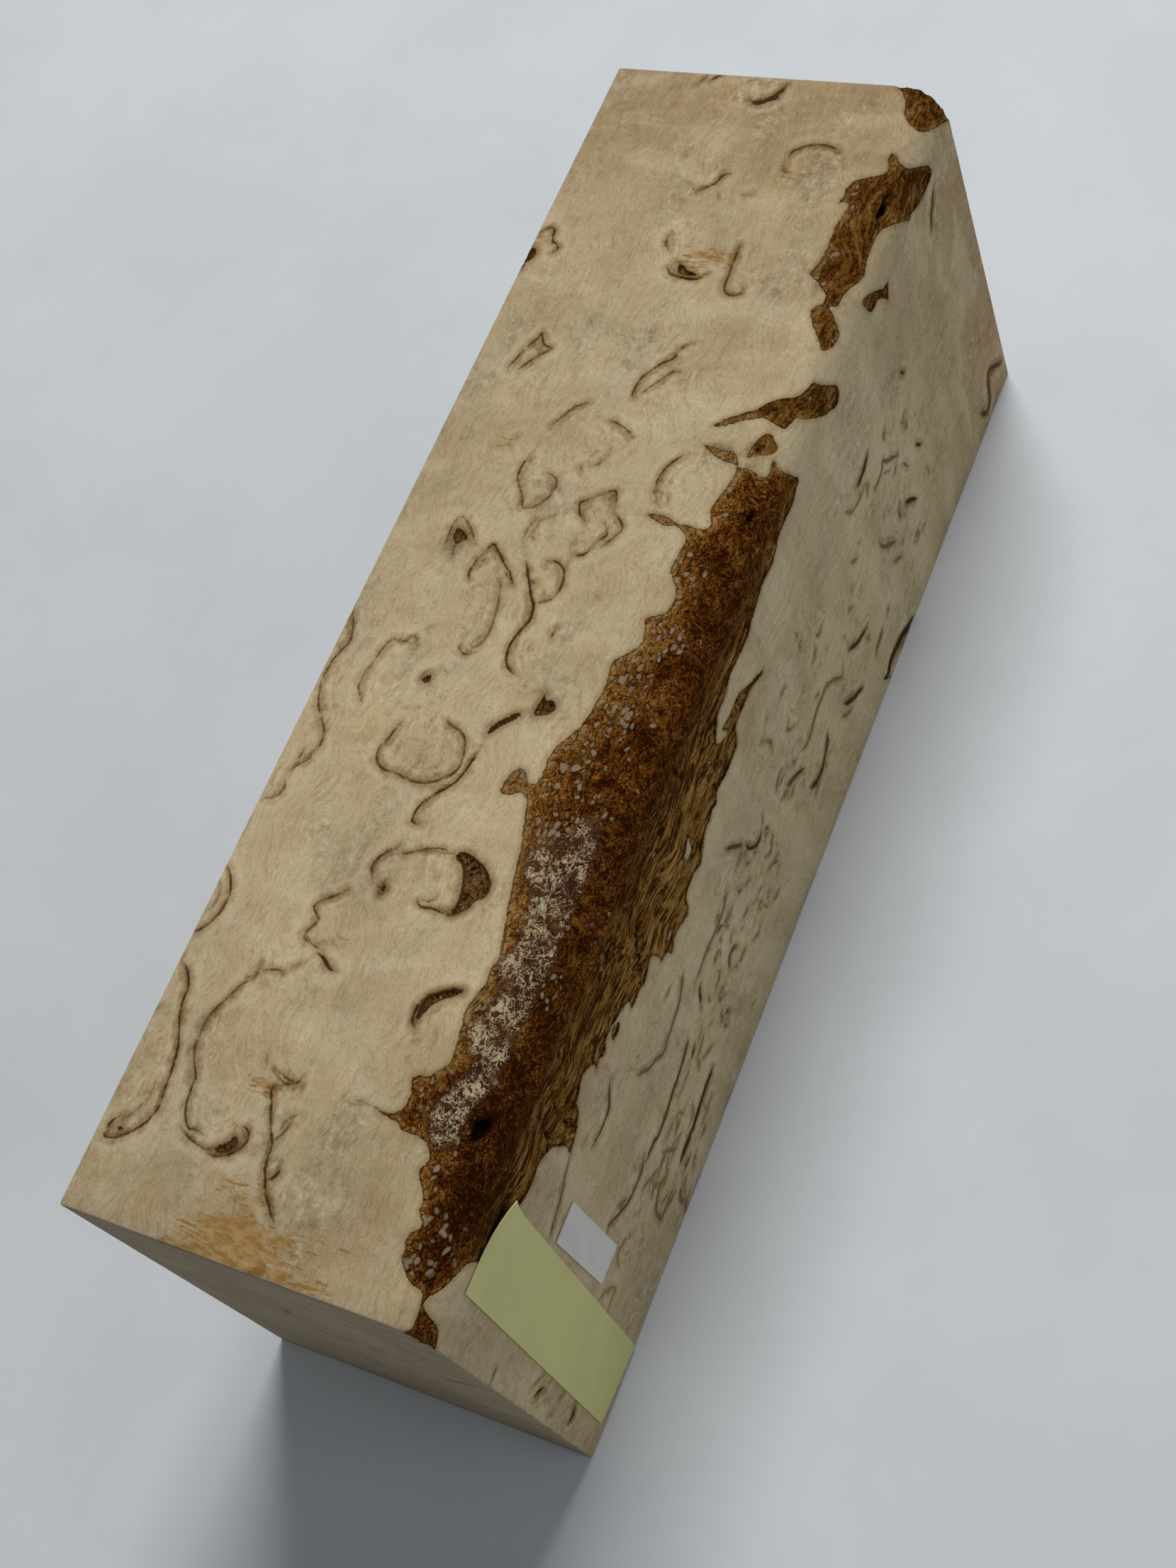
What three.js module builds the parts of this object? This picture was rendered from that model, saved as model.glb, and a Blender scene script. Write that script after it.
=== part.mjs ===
// Masur birch carving block: one sawn piece of figured birch that keeps a strip of
// its grown, rounded wane along one long edge, with two paper labels on that side.
// Millimetres. X runs along the grain, Y across the block, Z up.
// The origin is the centre of the underside. The labels are on the -Y side, at the -X end.

import * as THREE from 'three';

// Sawn block
const LENGTH = 122;
const WIDTH = 34;
const HEIGHT = 42;

// Wane: the rounded edge where the sawn top and front meet the outside of the tree
const WANE_RUN = 3.0; // set-back on the top face
const WANE_DROP = 3.8; // depth on the front face
const WANE_FULLNESS = 0.8; // 0 is a flat chamfer, 1 swells out to the corner's own round
const WANE_TAPER = 0.12; // share by which the wane grows from the -X end to the +X end
const WANE_WANDER = 0.07; // share by which the grown edge wanders in and out
const WANE_FACETS = 8;
const BLOCK_STATIONS = 24;
const RUN_WAVE = { length: 47, phase: 0.6 };
const DROP_WAVE = { length: 31, phase: 2.2 };

// Paper labels: glued flat on the front face
const GLUE_FILM = 0.05;
const PAPER_THICKNESS = 0.12;

// Size note: a strip cut by hand, so its four corners are not square.
// Each corner is (x, z) on the front face.
const NOTE_TOP_LEFT = new THREE.Vector2(-56.3, 37.4);
const NOTE_TOP_RIGHT = new THREE.Vector2(-48.3, 37.0);
const NOTE_BOTTOM_RIGHT = new THREE.Vector2(-50.5, 0.5);
const NOTE_BOTTOM_LEFT = new THREE.Vector2(-58.05, 1.35);
const NOTE_CURL_LIFT = 0.8; // how far the top right corner stands off the wood
const NOTE_CURL_REACH = 5.0; // how far from that corner the paper starts to bend
const NOTE_COLUMNS = 6;
const NOTE_ROWS = 18;

// Stock tag: a small printed-label blank with square corners
const TAG_WIDTH = 3.6;
const TAG_HEIGHT = 12.1;
const TAG_CENTRE = new THREE.Vector2(-46.55, 19.2);
const TAG_TILT = THREE.MathUtils.degToRad(0.4);

const FRONT = -WIDTH / 2;

const birch = new THREE.MeshStandardMaterial({ color: 0xc4b08c, roughness: 0.75, metalness: 0 });
const notePaper = new THREE.MeshStandardMaterial({ color: 0xbfc28f, roughness: 0.85, metalness: 0 });
const tagPaper = new THREE.MeshStandardMaterial({ color: 0xd6d8dc, roughness: 0.6, metalness: 0 });

// Changes each vertex of a geometry in place.
function moveVertices(geometry, move) {
  const positions = geometry.getAttribute('position');
  const vertex = new THREE.Vector3();
  for (let i = 0; i < positions.count; i += 1) {
    vertex.fromBufferAttribute(positions, i);
    move(vertex);
    positions.setXYZ(i, vertex.x, vertex.y, vertex.z);
  }
  geometry.computeVertexNormals();
  return geometry;
}

// The block's end outline, drawn with its own x as the block's Y and its own y as Z.
function blockOutline() {
  const topTangent = new THREE.Vector2(FRONT + WANE_RUN, HEIGHT);
  const frontTangent = new THREE.Vector2(FRONT, HEIGHT - WANE_DROP);
  const corner = new THREE.Vector2(FRONT, HEIGHT);
  const chordMiddle = topTangent.clone().lerp(frontTangent, 0.5);
  const control = chordMiddle.lerp(corner, WANE_FULLNESS);

  const outline = new THREE.Shape();
  outline.moveTo(FRONT, 0);
  outline.lineTo(WIDTH / 2, 0);
  outline.lineTo(WIDTH / 2, HEIGHT);
  outline.lineTo(topTangent.x, topTangent.y);
  outline.quadraticCurveTo(control.x, control.y, frontTangent.x, frontTangent.y);
  outline.closePath();
  return outline;
}

// How much larger or smaller than nominal the wane is at one place along the block.
function waneScale(x, wave) {
  const taper = WANE_TAPER * (x / LENGTH);
  const wander = WANE_WANDER * Math.sin((2 * Math.PI * x) / wave.length + wave.phase);
  return 1 + taper + wander;
}

function blockGeometry() {
  const geometry = new THREE.ExtrudeGeometry(blockOutline(), {
    depth: LENGTH,
    steps: BLOCK_STATIONS,
    curveSegments: WANE_FACETS,
    bevelEnabled: false,
  });
  const along = new THREE.Vector3(1, 0, 0);
  const across = new THREE.Vector3(0, 1, 0);
  const up = new THREE.Vector3(0, 0, 1);
  geometry.applyMatrix4(new THREE.Matrix4().makeBasis(across, up, along));
  geometry.translate(-LENGTH / 2, 0, 0);

  const slack = 1e-4;
  return moveVertices(geometry, (vertex) => {
    const setBack = vertex.y - FRONT;
    const depth = HEIGHT - vertex.z;
    if (setBack < WANE_RUN + slack && depth < WANE_DROP + slack) {
      vertex.y = FRONT + setBack * waneScale(vertex.x, RUN_WAVE);
      vertex.z = HEIGHT - depth * waneScale(vertex.x, DROP_WAVE);
    }
  });
}

// A strip of paper between four corners, with its top right corner curling off the wood.
function noteGeometry() {
  const sheet = new THREE.BoxGeometry(1, PAPER_THICKNESS, 1, NOTE_COLUMNS, 1, NOTE_ROWS);
  const topEdge = new THREE.Vector2();
  const bottomEdge = new THREE.Vector2();
  return moveVertices(sheet, (vertex) => {
    topEdge.lerpVectors(NOTE_TOP_LEFT, NOTE_TOP_RIGHT, vertex.x + 0.5);
    bottomEdge.lerpVectors(NOTE_BOTTOM_LEFT, NOTE_BOTTOM_RIGHT, vertex.x + 0.5);
    const place = bottomEdge.lerp(topEdge, vertex.z + 0.5);
    const nearness = Math.max(0, 1 - place.distanceTo(NOTE_TOP_RIGHT) / NOTE_CURL_REACH);
    const lift = NOTE_CURL_LIFT * nearness ** 2;
    vertex.set(place.x, vertex.y - lift, place.y);
  });
}

function addMesh(group, name, geometry, material) {
  const mesh = new THREE.Mesh(geometry, material);
  mesh.name = name;
  group.add(mesh);
  return mesh;
}

const block = new THREE.Group();
addMesh(block, 'birch_block', blockGeometry(), birch);

// Both labels share the plane of the paper's middle, just off the front face.
const labels = new THREE.Group();
labels.position.y = FRONT - GLUE_FILM - PAPER_THICKNESS / 2;
addMesh(labels, 'size_note', noteGeometry(), notePaper);

const tagSheet = new THREE.BoxGeometry(TAG_WIDTH, PAPER_THICKNESS, TAG_HEIGHT);
const tag = addMesh(labels, 'stock_tag', tagSheet, tagPaper);
tag.position.set(TAG_CENTRE.x, 0, TAG_CENTRE.y);
tag.rotation.y = TAG_TILT;
block.add(labels);

export default block;
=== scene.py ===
import logging
import math
from dataclasses import dataclass
from enum import Enum

import bpy
import numpy as np
from mathutils import Matrix, Vector, kdtree


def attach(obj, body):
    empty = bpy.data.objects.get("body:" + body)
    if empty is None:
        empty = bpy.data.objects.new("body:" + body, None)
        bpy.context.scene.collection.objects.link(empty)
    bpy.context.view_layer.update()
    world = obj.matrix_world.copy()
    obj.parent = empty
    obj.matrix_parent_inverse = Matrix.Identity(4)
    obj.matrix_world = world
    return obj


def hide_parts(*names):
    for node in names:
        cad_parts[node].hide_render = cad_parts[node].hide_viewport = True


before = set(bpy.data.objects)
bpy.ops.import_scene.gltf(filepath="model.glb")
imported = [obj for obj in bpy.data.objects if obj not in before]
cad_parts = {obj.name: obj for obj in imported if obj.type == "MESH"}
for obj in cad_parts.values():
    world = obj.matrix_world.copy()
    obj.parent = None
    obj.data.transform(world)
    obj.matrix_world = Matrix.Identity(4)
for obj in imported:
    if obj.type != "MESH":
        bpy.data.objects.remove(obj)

log = logging.getLogger("masur_birch_block")

# Millimetres are used throughout, and MM turns them into Blender's metres.
MM = 0.001

Point = tuple[float, float]
Triple = tuple[float, float, float]
Colour = Triple


class Value:
    """A shader socket that takes part in Python arithmetic."""

    def __init__(self, graph: "FinishGraph", socket: bpy.types.NodeSocket) -> None:
        """Holds a socket and the graph it belongs to."""
        self.graph = graph
        self.socket = socket

    def _math(self, operation: str, first: "Value | float", second: "Value | float") -> "Value":
        """Adds one Math node."""
        return self.graph.node("ShaderNodeMath", {"operation": operation}, {0: first, 1: second})

    def __add__(self, other: "Value | float") -> "Value":
        """self + other."""
        return self._math("ADD", self, other)

    def __radd__(self, other: float) -> "Value":
        """other + self."""
        return self._math("ADD", other, self)

    def __sub__(self, other: "Value | float") -> "Value":
        """self - other."""
        return self._math("SUBTRACT", self, other)

    def __rsub__(self, other: float) -> "Value":
        """other - self."""
        return self._math("SUBTRACT", other, self)

    def __mul__(self, other: "Value | float") -> "Value":
        """self * other."""
        return self._math("MULTIPLY", self, other)

    def __rmul__(self, other: float) -> "Value":
        """other * self."""
        return self._math("MULTIPLY", other, self)

    def __abs__(self) -> "Value":
        """abs(self)."""
        return self._math("ABSOLUTE", self, 0.0)


class FinishGraph:
    """A material under construction: nodes, noises, mixes and the final shader."""

    def __init__(self, name: str) -> None:
        """Starts an empty node material.

        Args:
            name: the material's name.
        """
        self.material = bpy.data.materials.new(name)
        self.material.use_nodes = True
        self.tree = self.material.node_tree
        self.tree.nodes.clear()

    def node(self, kind: str, settings: dict, sockets: dict, output: int | str = 0) -> Value:
        """Adds a node.

        Args:
            kind: the node's type.
            settings: attributes of the node, set before its sockets.
            sockets: values or links by socket name or number.
            output: the output that is wanted.

        Returns:
            The chosen output.
        """
        node = self.tree.nodes.new(kind)
        for name, setting in settings.items():
            setattr(node, name, setting)
        for name, value in sockets.items():
            if isinstance(value, Value):
                self.tree.links.new(value.socket, node.inputs[name])
            else:
                node.inputs[name].default_value = value
        return Value(self, node.outputs[output])

    def point(self) -> Value:
        """The place on the piece, in millimetres."""
        place = self.node("ShaderNodeTexCoord", {}, {}, "Object")
        return self.stretch(place, (1 / MM, 1 / MM, 1 / MM))

    def stretch(self, vector: Value, factors: Triple) -> Value:
        """A vector times a factor on each axis."""
        return self.node("ShaderNodeVectorMath", {"operation": "MULTIPLY"}, {0: vector, 1: factors})

    def offset(self, vector: Value, step: Value | Triple) -> Value:
        """A vector plus a step."""
        return self.node("ShaderNodeVectorMath", {"operation": "ADD"}, {0: vector, 1: step})

    def part(self, vector: Value, axis: str) -> Value:
        """One component of a vector."""
        return self.node("ShaderNodeSeparateXYZ", {}, {0: vector}, axis)

    def mark(self, name: str) -> Value:
        """A mark stored on the mesh's points."""
        return self.node("ShaderNodeAttribute", {"attribute_name": name}, {}, "Fac")

    def noise(self, vector: Value, scale: float, detail: float = 2.0, rough: float = 0.5) -> Value:
        """Smooth noise from 0 to 1, with features about 1 / scale millimetres across."""
        sockets = {"Vector": vector, "Scale": scale, "Detail": detail, "Roughness": rough}
        return self.node("ShaderNodeTexNoise", {}, sockets, "Fac")

    def streaks(self, vector: Value, factors: Triple, detail: float, rough: float) -> Value:
        """Smooth noise from 0 to 1 whose features are about 1 / factor millimetres along each axis."""
        return self.noise(self.stretch(vector, factors), 1.0, detail, rough)

    def drift(self, vector: Value, scale: float, reach: Triple) -> Value:
        """A vector pushed about by smooth noise.

        Args:
            vector: the vector.
            scale: how close the pushes follow one another.
            reach: twice the furthest push on each axis.

        Returns:
            The pushed vector.
        """
        sockets = {"Vector": vector, "Scale": scale, "Detail": 1.0}
        push = self.offset(self.node("ShaderNodeTexNoise", {}, sockets, "Color"), (-0.5, -0.5, -0.5))
        return self.offset(vector, self.stretch(push, reach))

    def fade(self, value: Value, start: float, end: float) -> Value:
        """A step with soft shoulders.

        Args:
            value: what is compared.
            start: where the step is still 0.
            end: where it reaches 1, above or below start.

        Returns:
            The step, from 0 to 1.
        """
        sockets = {0: value, 1: start, 2: end, 3: 0.0, 4: 1.0}
        if start > end:
            sockets = {0: value, 1: end, 2: start, 3: 1.0, 4: 0.0}
        return self.node("ShaderNodeMapRange", {"interpolation_type": "SMOOTHSTEP"}, sockets)

    def mix(self, share: Value | float, first: "Value | Colour", second: "Value | Colour",
            blend: str = "MIX") -> Value:
        """Lays a second colour over a first.

        Args:
            share: how much of the second colour shows.
            first: the colour beneath.
            second: the colour on top.
            blend: the Mix node's blending.

        Returns:
            The mixed colour.
        """
        sockets = {0: share, 6: self._colour(first), 7: self._colour(second)}
        return self.node("ShaderNodeMix", {"data_type": "RGBA", "blend_type": blend}, sockets, 2)

    @staticmethod
    def _colour(colour: "Value | Colour") -> "Value | tuple":
        """A socket as it is, or a plain colour with its alpha added."""
        return colour if isinstance(colour, Value) else (*colour, 1.0)

    def ramp(self, value: Value, *stops: tuple[float, Colour]) -> Value:
        """A colour that runs through several others as a value rises.

        Args:
            value: what the colour follows.
            stops: the values that the colours belong to, lowest first.

        Returns:
            The colour.
        """
        (start, colour), *others = stops
        for end, tint in others:
            colour = self.mix(self.fade(value, start, end), colour, tint)
            start = end
        return colour

    def bump(self, height: Value, depth: float, under: Value | None = None) -> Value:
        """A normal bent by a height from 0 to 1.

        Args:
            height: the relief.
            depth: its height in millimetres.
            under: a normal that is bent further.

        Returns:
            The bent normal.
        """
        sockets = {"Strength": 1.0, "Distance": depth * MM, "Height": height}
        if under is not None:
            sockets["Normal"] = under
        return self.node("ShaderNodeBump", {}, sockets)

    def finish(self, sockets: dict) -> bpy.types.Material:
        """Adds the shader and the output.

        Args:
            sockets: the shader's values and links.

        Returns:
            The finished material.
        """
        shader = self.node("ShaderNodeBsdfPrincipled", {}, sockets)
        output = self.tree.nodes.new("ShaderNodeOutputMaterial")
        self.tree.links.new(shader.socket, output.inputs["Surface"])
        return self.material


@dataclass(frozen=True)
class FrontStep:
    """The step that sets points picked on the front where the photograph shows them.

    The camera is fitted best to the top face, so points picked below the corner stand a little high and a
    little too near the label end.
    """

    along: float = 1.35
    along_gain: float = 0.012
    down: float = 1.2
    down_gain: float = 0.006
    ease_in: float = 3.0
    block_end: float = 61.0

    def move(self, points: tuple[Point, ...]) -> tuple[Point, ...]:
        """Moves points of the unrolled sheet."""
        return tuple(self._one(x, rise) for x, rise in points)

    def _one(self, x: float, rise: float) -> Point:
        """Moves one point that lies below the corner, and keeps those beyond the ends where they are.

        Args:
            x: its place along the block.
            rise: its place up from the corner, below zero on the front.

        Returns:
            The point in its new place.
        """
        share = min(max(-rise / self.ease_in, 0.0), 1.0)
        share = share ** 2 * (3 - 2 * share)
        along = share * (self.along + self.along_gain * x)
        down = share * (self.down + self.down_gain * x)
        return (x if abs(x) >= self.block_end else x + along), rise - down


FRONT_STEP = FrontStep()


@dataclass(frozen=True)
class Curl:
    """A dark line in the figure: its width, its darkness and the points that it runs through."""

    width: float
    tone: float
    points: tuple[Point, ...]

    def lifted(self, rise: float, swell: float = 1.0) -> "Curl":
        """The same line, moved along its chart's second axis and made wider."""
        return Curl(self.width * swell, self.tone, tuple((u, v + rise) for u, v in self.points))

    def settled(self) -> "Curl":
        """The same line, with the front's step taken."""
        return Curl(self.width, self.tone, FRONT_STEP.move(self.points))


@dataclass(frozen=True)
class Patch:
    """A filled shape in the figure, drawn as a closed outline."""

    points: tuple[Point, ...]

    def lifted(self, rise: float) -> "Patch":
        """The same shape, moved along its chart's second axis."""
        return Patch(tuple((u, v + rise) for u, v in self.points))

    def settled(self) -> "Patch":
        """The same shape, with the front's step taken."""
        return Patch(FRONT_STEP.move(self.points))


@dataclass(frozen=True)
class StrayCurls:
    """Lines of the same kinds for the faces that are drawn by chance."""

    count: int
    low: Point
    high: Point
    seed: int
    longest: float = 7.0
    darkest: float = 0.75
    bend: float = 0.33
    stride: float = 0.9
    palest: float = 0.35
    thinnest: float = 0.24
    widest: float = 0.5
    sway: float = 0.45
    wobble: float = 0.12

    def draw(self) -> tuple[Curl, ...]:
        """Draws the lines, the same ones at every run."""
        dice = np.random.default_rng(self.seed)
        return tuple(self._one(dice) for _ in range(self.count))

    def _one(self, dice: np.random.Generator) -> Curl:
        """Draws one wandering line.

        Args:
            dice: what the line's chances are drawn from.

        Returns:
            The line.
        """
        place = dice.uniform(self.low, self.high)
        heading = dice.normal(0.0, self.sway) + math.pi * dice.integers(0, 2)
        turn = dice.normal(0.0, self.bend)
        steps = 2 + int(dice.uniform(0.1, 1.0) ** 1.6 * self.longest)
        points = [tuple(place)]
        for _ in range(steps):
            heading += turn + dice.normal(0.0, self.wobble)
            ahead = np.array([math.cos(heading), math.sin(heading)])
            place = np.clip(place + self.stride * ahead, self.low, self.high)
            points.append(tuple(place))
        width, tone = dice.uniform(self.thinnest, self.widest), dice.uniform(self.palest, self.darkest)
        return Curl(width, tone, tuple(points))


# Lines on the top face, as (x, y).
TOP_CURLS = (
    Curl(0.3, 0.65, ((-52.2, 9.6), (-52.6, 8.6), (-52.95, 7.6), (-53.2, 6.4))),
    Curl(0.28, 0.5, ((-5.6, 3.7), (-3.9, 2.9), (-1, 3.2), (1.9, 4.1))),
    Curl(0.6, 0.85, ((57.8, 1.5), (57.75, 0.6), (58.2, -0.3), (59, -1.1), (60, -1.6))),
    Curl(0.28, 0.75, (
        (-52.8, 15.4), (-53.6, 15.95), (-54.6, 16.05), (-54.75, 15.5), (-54.4, 14.6), (-53.6, 13.6),
        (-52.6, 12.8), (-51.6, 12.45), (-50.6, 12.4), (-49.6, 12.6), (-48, 12.8), (-46.3, 13.15),
        (-44.8, 13.8), (-43.5, 14.5), (-42.2, 14.8), (-41, 14.95), (-39.9, 15.6), (-39.2, 16.3))),
    Curl(0.22, 0.6, ((-39, 16.8), (-38.3, 17.1))),
    Curl(0.2, 0.35, ((-53.5, 15.4), (-52.6, 14.5), (-51.7, 13.8), (-50.7, 13.5), (-49.8, 13.6))),
    Curl(0.2, 0.5, ((-43.9, 16.9), (-43.2, 16.7))),
    Curl(0.24, 0.7, (
        (-52.15, 7.5), (-51.95, 8.3), (-52, 8.9), (-51.3, 9.6), (-50.3, 10.05), (-49, 10.3),
        (-47.9, 10.4), (-47.3, 10.8), (-46.6, 11.3), (-45.6, 11.75), (-44.3, 11.9), (-43.2, 11.9),
        (-42.2, 11.6), (-41.4, 11.2), (-40.2, 10.6), (-39.6, 10.3), (-39, 9.7), (-38.6, 9.4), (-38, 9.3),
        (-37.3, 9.1))),
    Curl(0.22, 0.65, ((-38, 9.3), (-37.7, 8.6), (-37.5, 7.7), (-37.4, 7.1))),
    Curl(0.45, 0.7, ((-37.9, 7.1), (-37.7, 6.9))),
    Curl(0.2, 0.5, ((-39, 8.4), (-38.9, 8.1))),
    Curl(0.22, 0.6, ((-36.9, 6.5), (-36.4, 6.1), (-36.1, 5.6))),
    Curl(0.25, 0.8, (
        (-53.4, 6.2), (-53.4, 5.4), (-53, 4.5), (-52.3, 3.7), (-51.5, 3.4), (-50.8, 3.6), (-50.5, 4.2),
        (-50.7, 4.8))),
    Curl(0.22, 0.7, ((-53.1, 6.8), (-52.9, 5.9))),
    Curl(0.28, 0.8, (
        (-56.6, -1.8), (-56, -1.2), (-55.2, -0.5), (-54.4, 0.1), (-53.9, 0.35), (-53.2, 0.75), (-52.3, 1),
        (-51.2, 1.15), (-50.8, 1.35), (-50.1, 1.8), (-49, 2.4), (-48, 2.85), (-47.1, 3.3), (-46.6, 3.2),
        (-46.3, 2.5), (-46, 1.7), (-45.6, 1.25), (-45.2, 1.3))),
    Curl(0.22, 0.65, ((-50.9, 1.2), (-50, 0.7), (-49.3, 0.4), (-48.5, 0.3), (-48.2, 0.05))),
    Curl(0.4, 0.8, ((-53.9, 0.3), (-53.5, -0.2), (-53, -0.4), (-52.5, -0.35))),
    Curl(0.4, 0.7, ((-56.8, -2.0), (-56.4, -1.7))),
    Curl(0.25, 0.5, ((-46.3, 2.3), (-45.7, 3.6), (-45.3, 4.2))),
    Curl(0.28, 0.6, ((-45.5, 3.7), (-45.7, 2.8), (-45.9, 1.7), (-45.5, 1.2))),
    Curl(0.24, 0.6, ((-50.2, 0.9), (-49.4, 1.05), (-48.7, 0.7), (-48.2, 0.1))),
    Curl(0.36, 0.75, ((-48.8, 0.55), (-48.3, 0.15))),
    Curl(0.6, 0.45, ((-45.95, -6.5), (-45.8, -5.7))),
    Curl(0.35, 0.3, ((-45.8, -5.7), (-45.7, -4.7), (-45.9, -3.6))),
    Curl(0.3, 0.35, ((-45.2, 4.8), (-44.4, 5.1))),
    Curl(0.25, 0.6, ((-61, -1.7), (-60.5, -2), (-60.1, -2.4))),
    Curl(0.25, 0.7, (
        (-36.6, 17.1), (-36, 16.4), (-35.2, 15.8), (-34.2, 15.4), (-33.2, 15.25), (-32.3, 15.3),
        (-31.4, 15.7), (-30.5, 16.3), (-29.8, 17.1))),
    Curl(0.18, 0.3, ((-35, 17), (-34, 16.4), (-33, 16.2), (-32, 16.4), (-31.2, 17))),
    Curl(0.22, 0.5, ((-27, 16.95), (-25.2, 16.95))),
    Curl(0.42, 0.8, ((-36.3, 2.6), (-36.2, 3.2), (-35.8, 3.7), (-35.4, 4.3), (-35.15, 5))),
    Curl(0.24, 0.75, (
        (-34.9, 4.6), (-34.7, 5.5), (-34.5, 6.2), (-34.2, 6.7), (-33.8, 6.8), (-33.3, 6.5), (-32.8, 6.2),
        (-32.4, 6.15), (-32, 6.6), (-31.6, 7.05), (-31.2, 7.1), (-30.8, 6.7), (-30.3, 6), (-29.7, 5.3),
        (-29.2, 4.8))),
    Curl(0.26, 0.75, (
        (-27.9, 3.1), (-27.3, 3.4), (-26.8, 3.6), (-26.1, 3.5), (-25.4, 3.1), (-24.8, 2.55),
        (-24.4, 2.2))),
    Curl(0.2, 0.6, ((-28.3, 2.3), (-28.8, 2.1), (-29, 1.7), (-28.6, 1.3))),
    Curl(0.24, 0.7, (
        (-25, 1.9), (-25, 1.2), (-24.7, 0.6), (-24.2, -0.3), (-23.9, -1), (-23.8, -1.9), (-23.85, -2.8))),
    Curl(0.22, 0.75, (
        (-28.6, -1.6), (-29.1, -2.2), (-29, -3.2), (-29.1, -4.2), (-29.2, -4.9), (-28.9, -5.6),
        (-28.3, -6.3))),
    Curl(0.2, 0.6, ((-28.6, -2), (-28.4, -2.9), (-27.9, -3.3))),
    Curl(0.22, 0.6, ((-26.5, -2.2), (-26.2, -2.5))),
    Curl(0.34, 0.8, (
        (-22.3, 1.3), (-22, 2), (-21.3, 2.1), (-20.5, 1.9), (-19.8, 1.5), (-19.1, 0.9), (-18.5, 0.3),
        (-17.9, -0.2), (-17.4, -0.45), (-16.6, -0.7), (-15.6, -0.9), (-14.5, -1.2))),
    Curl(0.24, 0.7, (
        (-13.6, 7.2), (-14.4, 7.4), (-15.3, 7.6), (-16, 8), (-16.6, 8.05), (-17.3, 7.8), (-17.9, 7.3),
        (-18.2, 6.4), (-18.2, 5.3), (-18.5, 4.4), (-18.6, 3.4), (-18.5, 2.5), (-18.1, 1.5), (-17.5, 0.6),
        (-16.7, 0.05), (-15.8, -0.05), (-14.8, 0.2), (-13.8, 0.6), (-13.1, 1.4), (-12.8, 2.4),
        (-12.3, 3.2))),
    Curl(0.22, 0.6, (
        (-23.3, 16.3), (-23.2, 15.8), (-22.7, 15.3), (-22, 15.05), (-21.4, 15.2), (-21.1, 15.3))),
    Curl(0.22, 0.65, (
        (-20.4, 15.3), (-19.6, 14.9), (-18.9, 14.2), (-18, 13.8), (-17, 13.65), (-16, 13.9), (-15, 14.6),
        (-14.2, 15.3), (-13.3, 15.9), (-12.2, 16.3), (-11.2, 16.6))),
    Curl(0.3, 0.8, ((-19, 15.05), (-18.1, 14.95))),
    Curl(0.22, 0.65, (
        (-11.2, 16.55), (-10, 16.5), (-9, 16.4), (-8, 16), (-7.2, 15.7), (-6.5, 15.7), (-5.6, 16),
        (-4.8, 16.4), (-4.2, 16.8), (-3.7, 17.1))),
    Curl(0.22, 0.65, (
        (-12.4, 11.9), (-11.8, 12.3), (-11.2, 12.7), (-10.3, 12.85), (-9.3, 12.7), (-8.2, 12.4),
        (-7.2, 12.2), (-6.4, 12), (-5.9, 11.6), (-5.8, 11), (-6, 10.5), (-5.7, 10.1), (-5.2, 9.9),
        (-5.5, 9.3), (-6, 9))),
    Curl(0.18, 0.35, ((-9.2, 7.3), (-8.5, 7.2), (-8, 6.7))),
    Curl(0.22, 0.65, ((-4.6, 5.2), (-5.3, 5.1), (-5.8, 4.7), (-6, 4.1), (-5.7, 3.4))),
    Curl(0.5, 0.65, ((-5.6, 4.7), (-5.4, 4.5))),
    Curl(0.2, 0.4, ((-5, 4), (-4.2, 3.5), (-3.4, 3.2))),
    Curl(0.28, 0.8, (
        (1.2, 7.2), (2, 7.4), (3, 7.3), (4, 7), (4.8, 6.6), (5.2, 6.35), (4.8, 5.9), (4.2, 5.2),
        (3.5, 4.6), (3, 4), (2.6, 3.5), (2, 3.1), (1.5, 2.7))),
    Curl(0.4, 0.8, ((1.3, 7.2), (1.9, 7.35))),
    Curl(0.6, 0.7, ((3.3, 6.7), (3.5, 6.5))),
    Curl(0.38, 0.75, ((2.2, 3.6), (2.8, 4.2))),
    Curl(0.22, 0.55, ((2.6, 4.7), (2.9, 4.8))),
    Curl(0.22, 0.6, (
        (4.3, 11), (5.3, 11.1), (6.3, 11.15), (7, 11), (7.4, 10.6), (7.1, 10.1), (6.4, 9.3), (5.7, 8.7),
        (5.1, 8.3))),
    Curl(0.2, 0.5, ((2.9, 9.7), (3.5, 9.8), (4.2, 9.95))),
    Curl(0.24, 0.7, (
        (9.2, 5.2), (9.9, 5.5), (10.8, 6), (11.6, 6.7), (12.3, 7.1), (13.2, 7.2), (14.2, 7.1),
        (15, 6.9))),
    Curl(0.22, 0.65, (
        (9.2, 5), (9.4, 4.4), (10, 3.7), (10.9, 3.15), (11.9, 3), (12.7, 3.2), (13.1, 3.8), (13.3, 4.4))),
    Curl(0.22, 0.6, ((6.2, 3.75), (7, 3.85), (7.8, 3.7), (8.6, 3.4))),
    Curl(0.18, 0.35, ((6.5, 3.4), (8.2, 3.1), (8.9, 2.4), (9.3, 1.7))),
    Curl(0.5, 0.6, ((6.9, 1.25), (7.1, 1.15))),
    Curl(0.18, 0.3, ((4.5, 2.7), (6, 3.6))),
    Curl(0.32, 0.8, (
        (-6.9, -1), (-6.5, -0.4), (-6, 0.05), (-5.2, 0.35), (-4.3, 0.45), (-3.3, 0.3), (-2.3, -0.05),
        (-1.5, -0.3), (-0.7, -0.2), (0, 0), (0.8, 0.6), (1.8, 1.2), (2.6, 1.7), (3.3, 2.1), (4, 2.5))),
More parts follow.
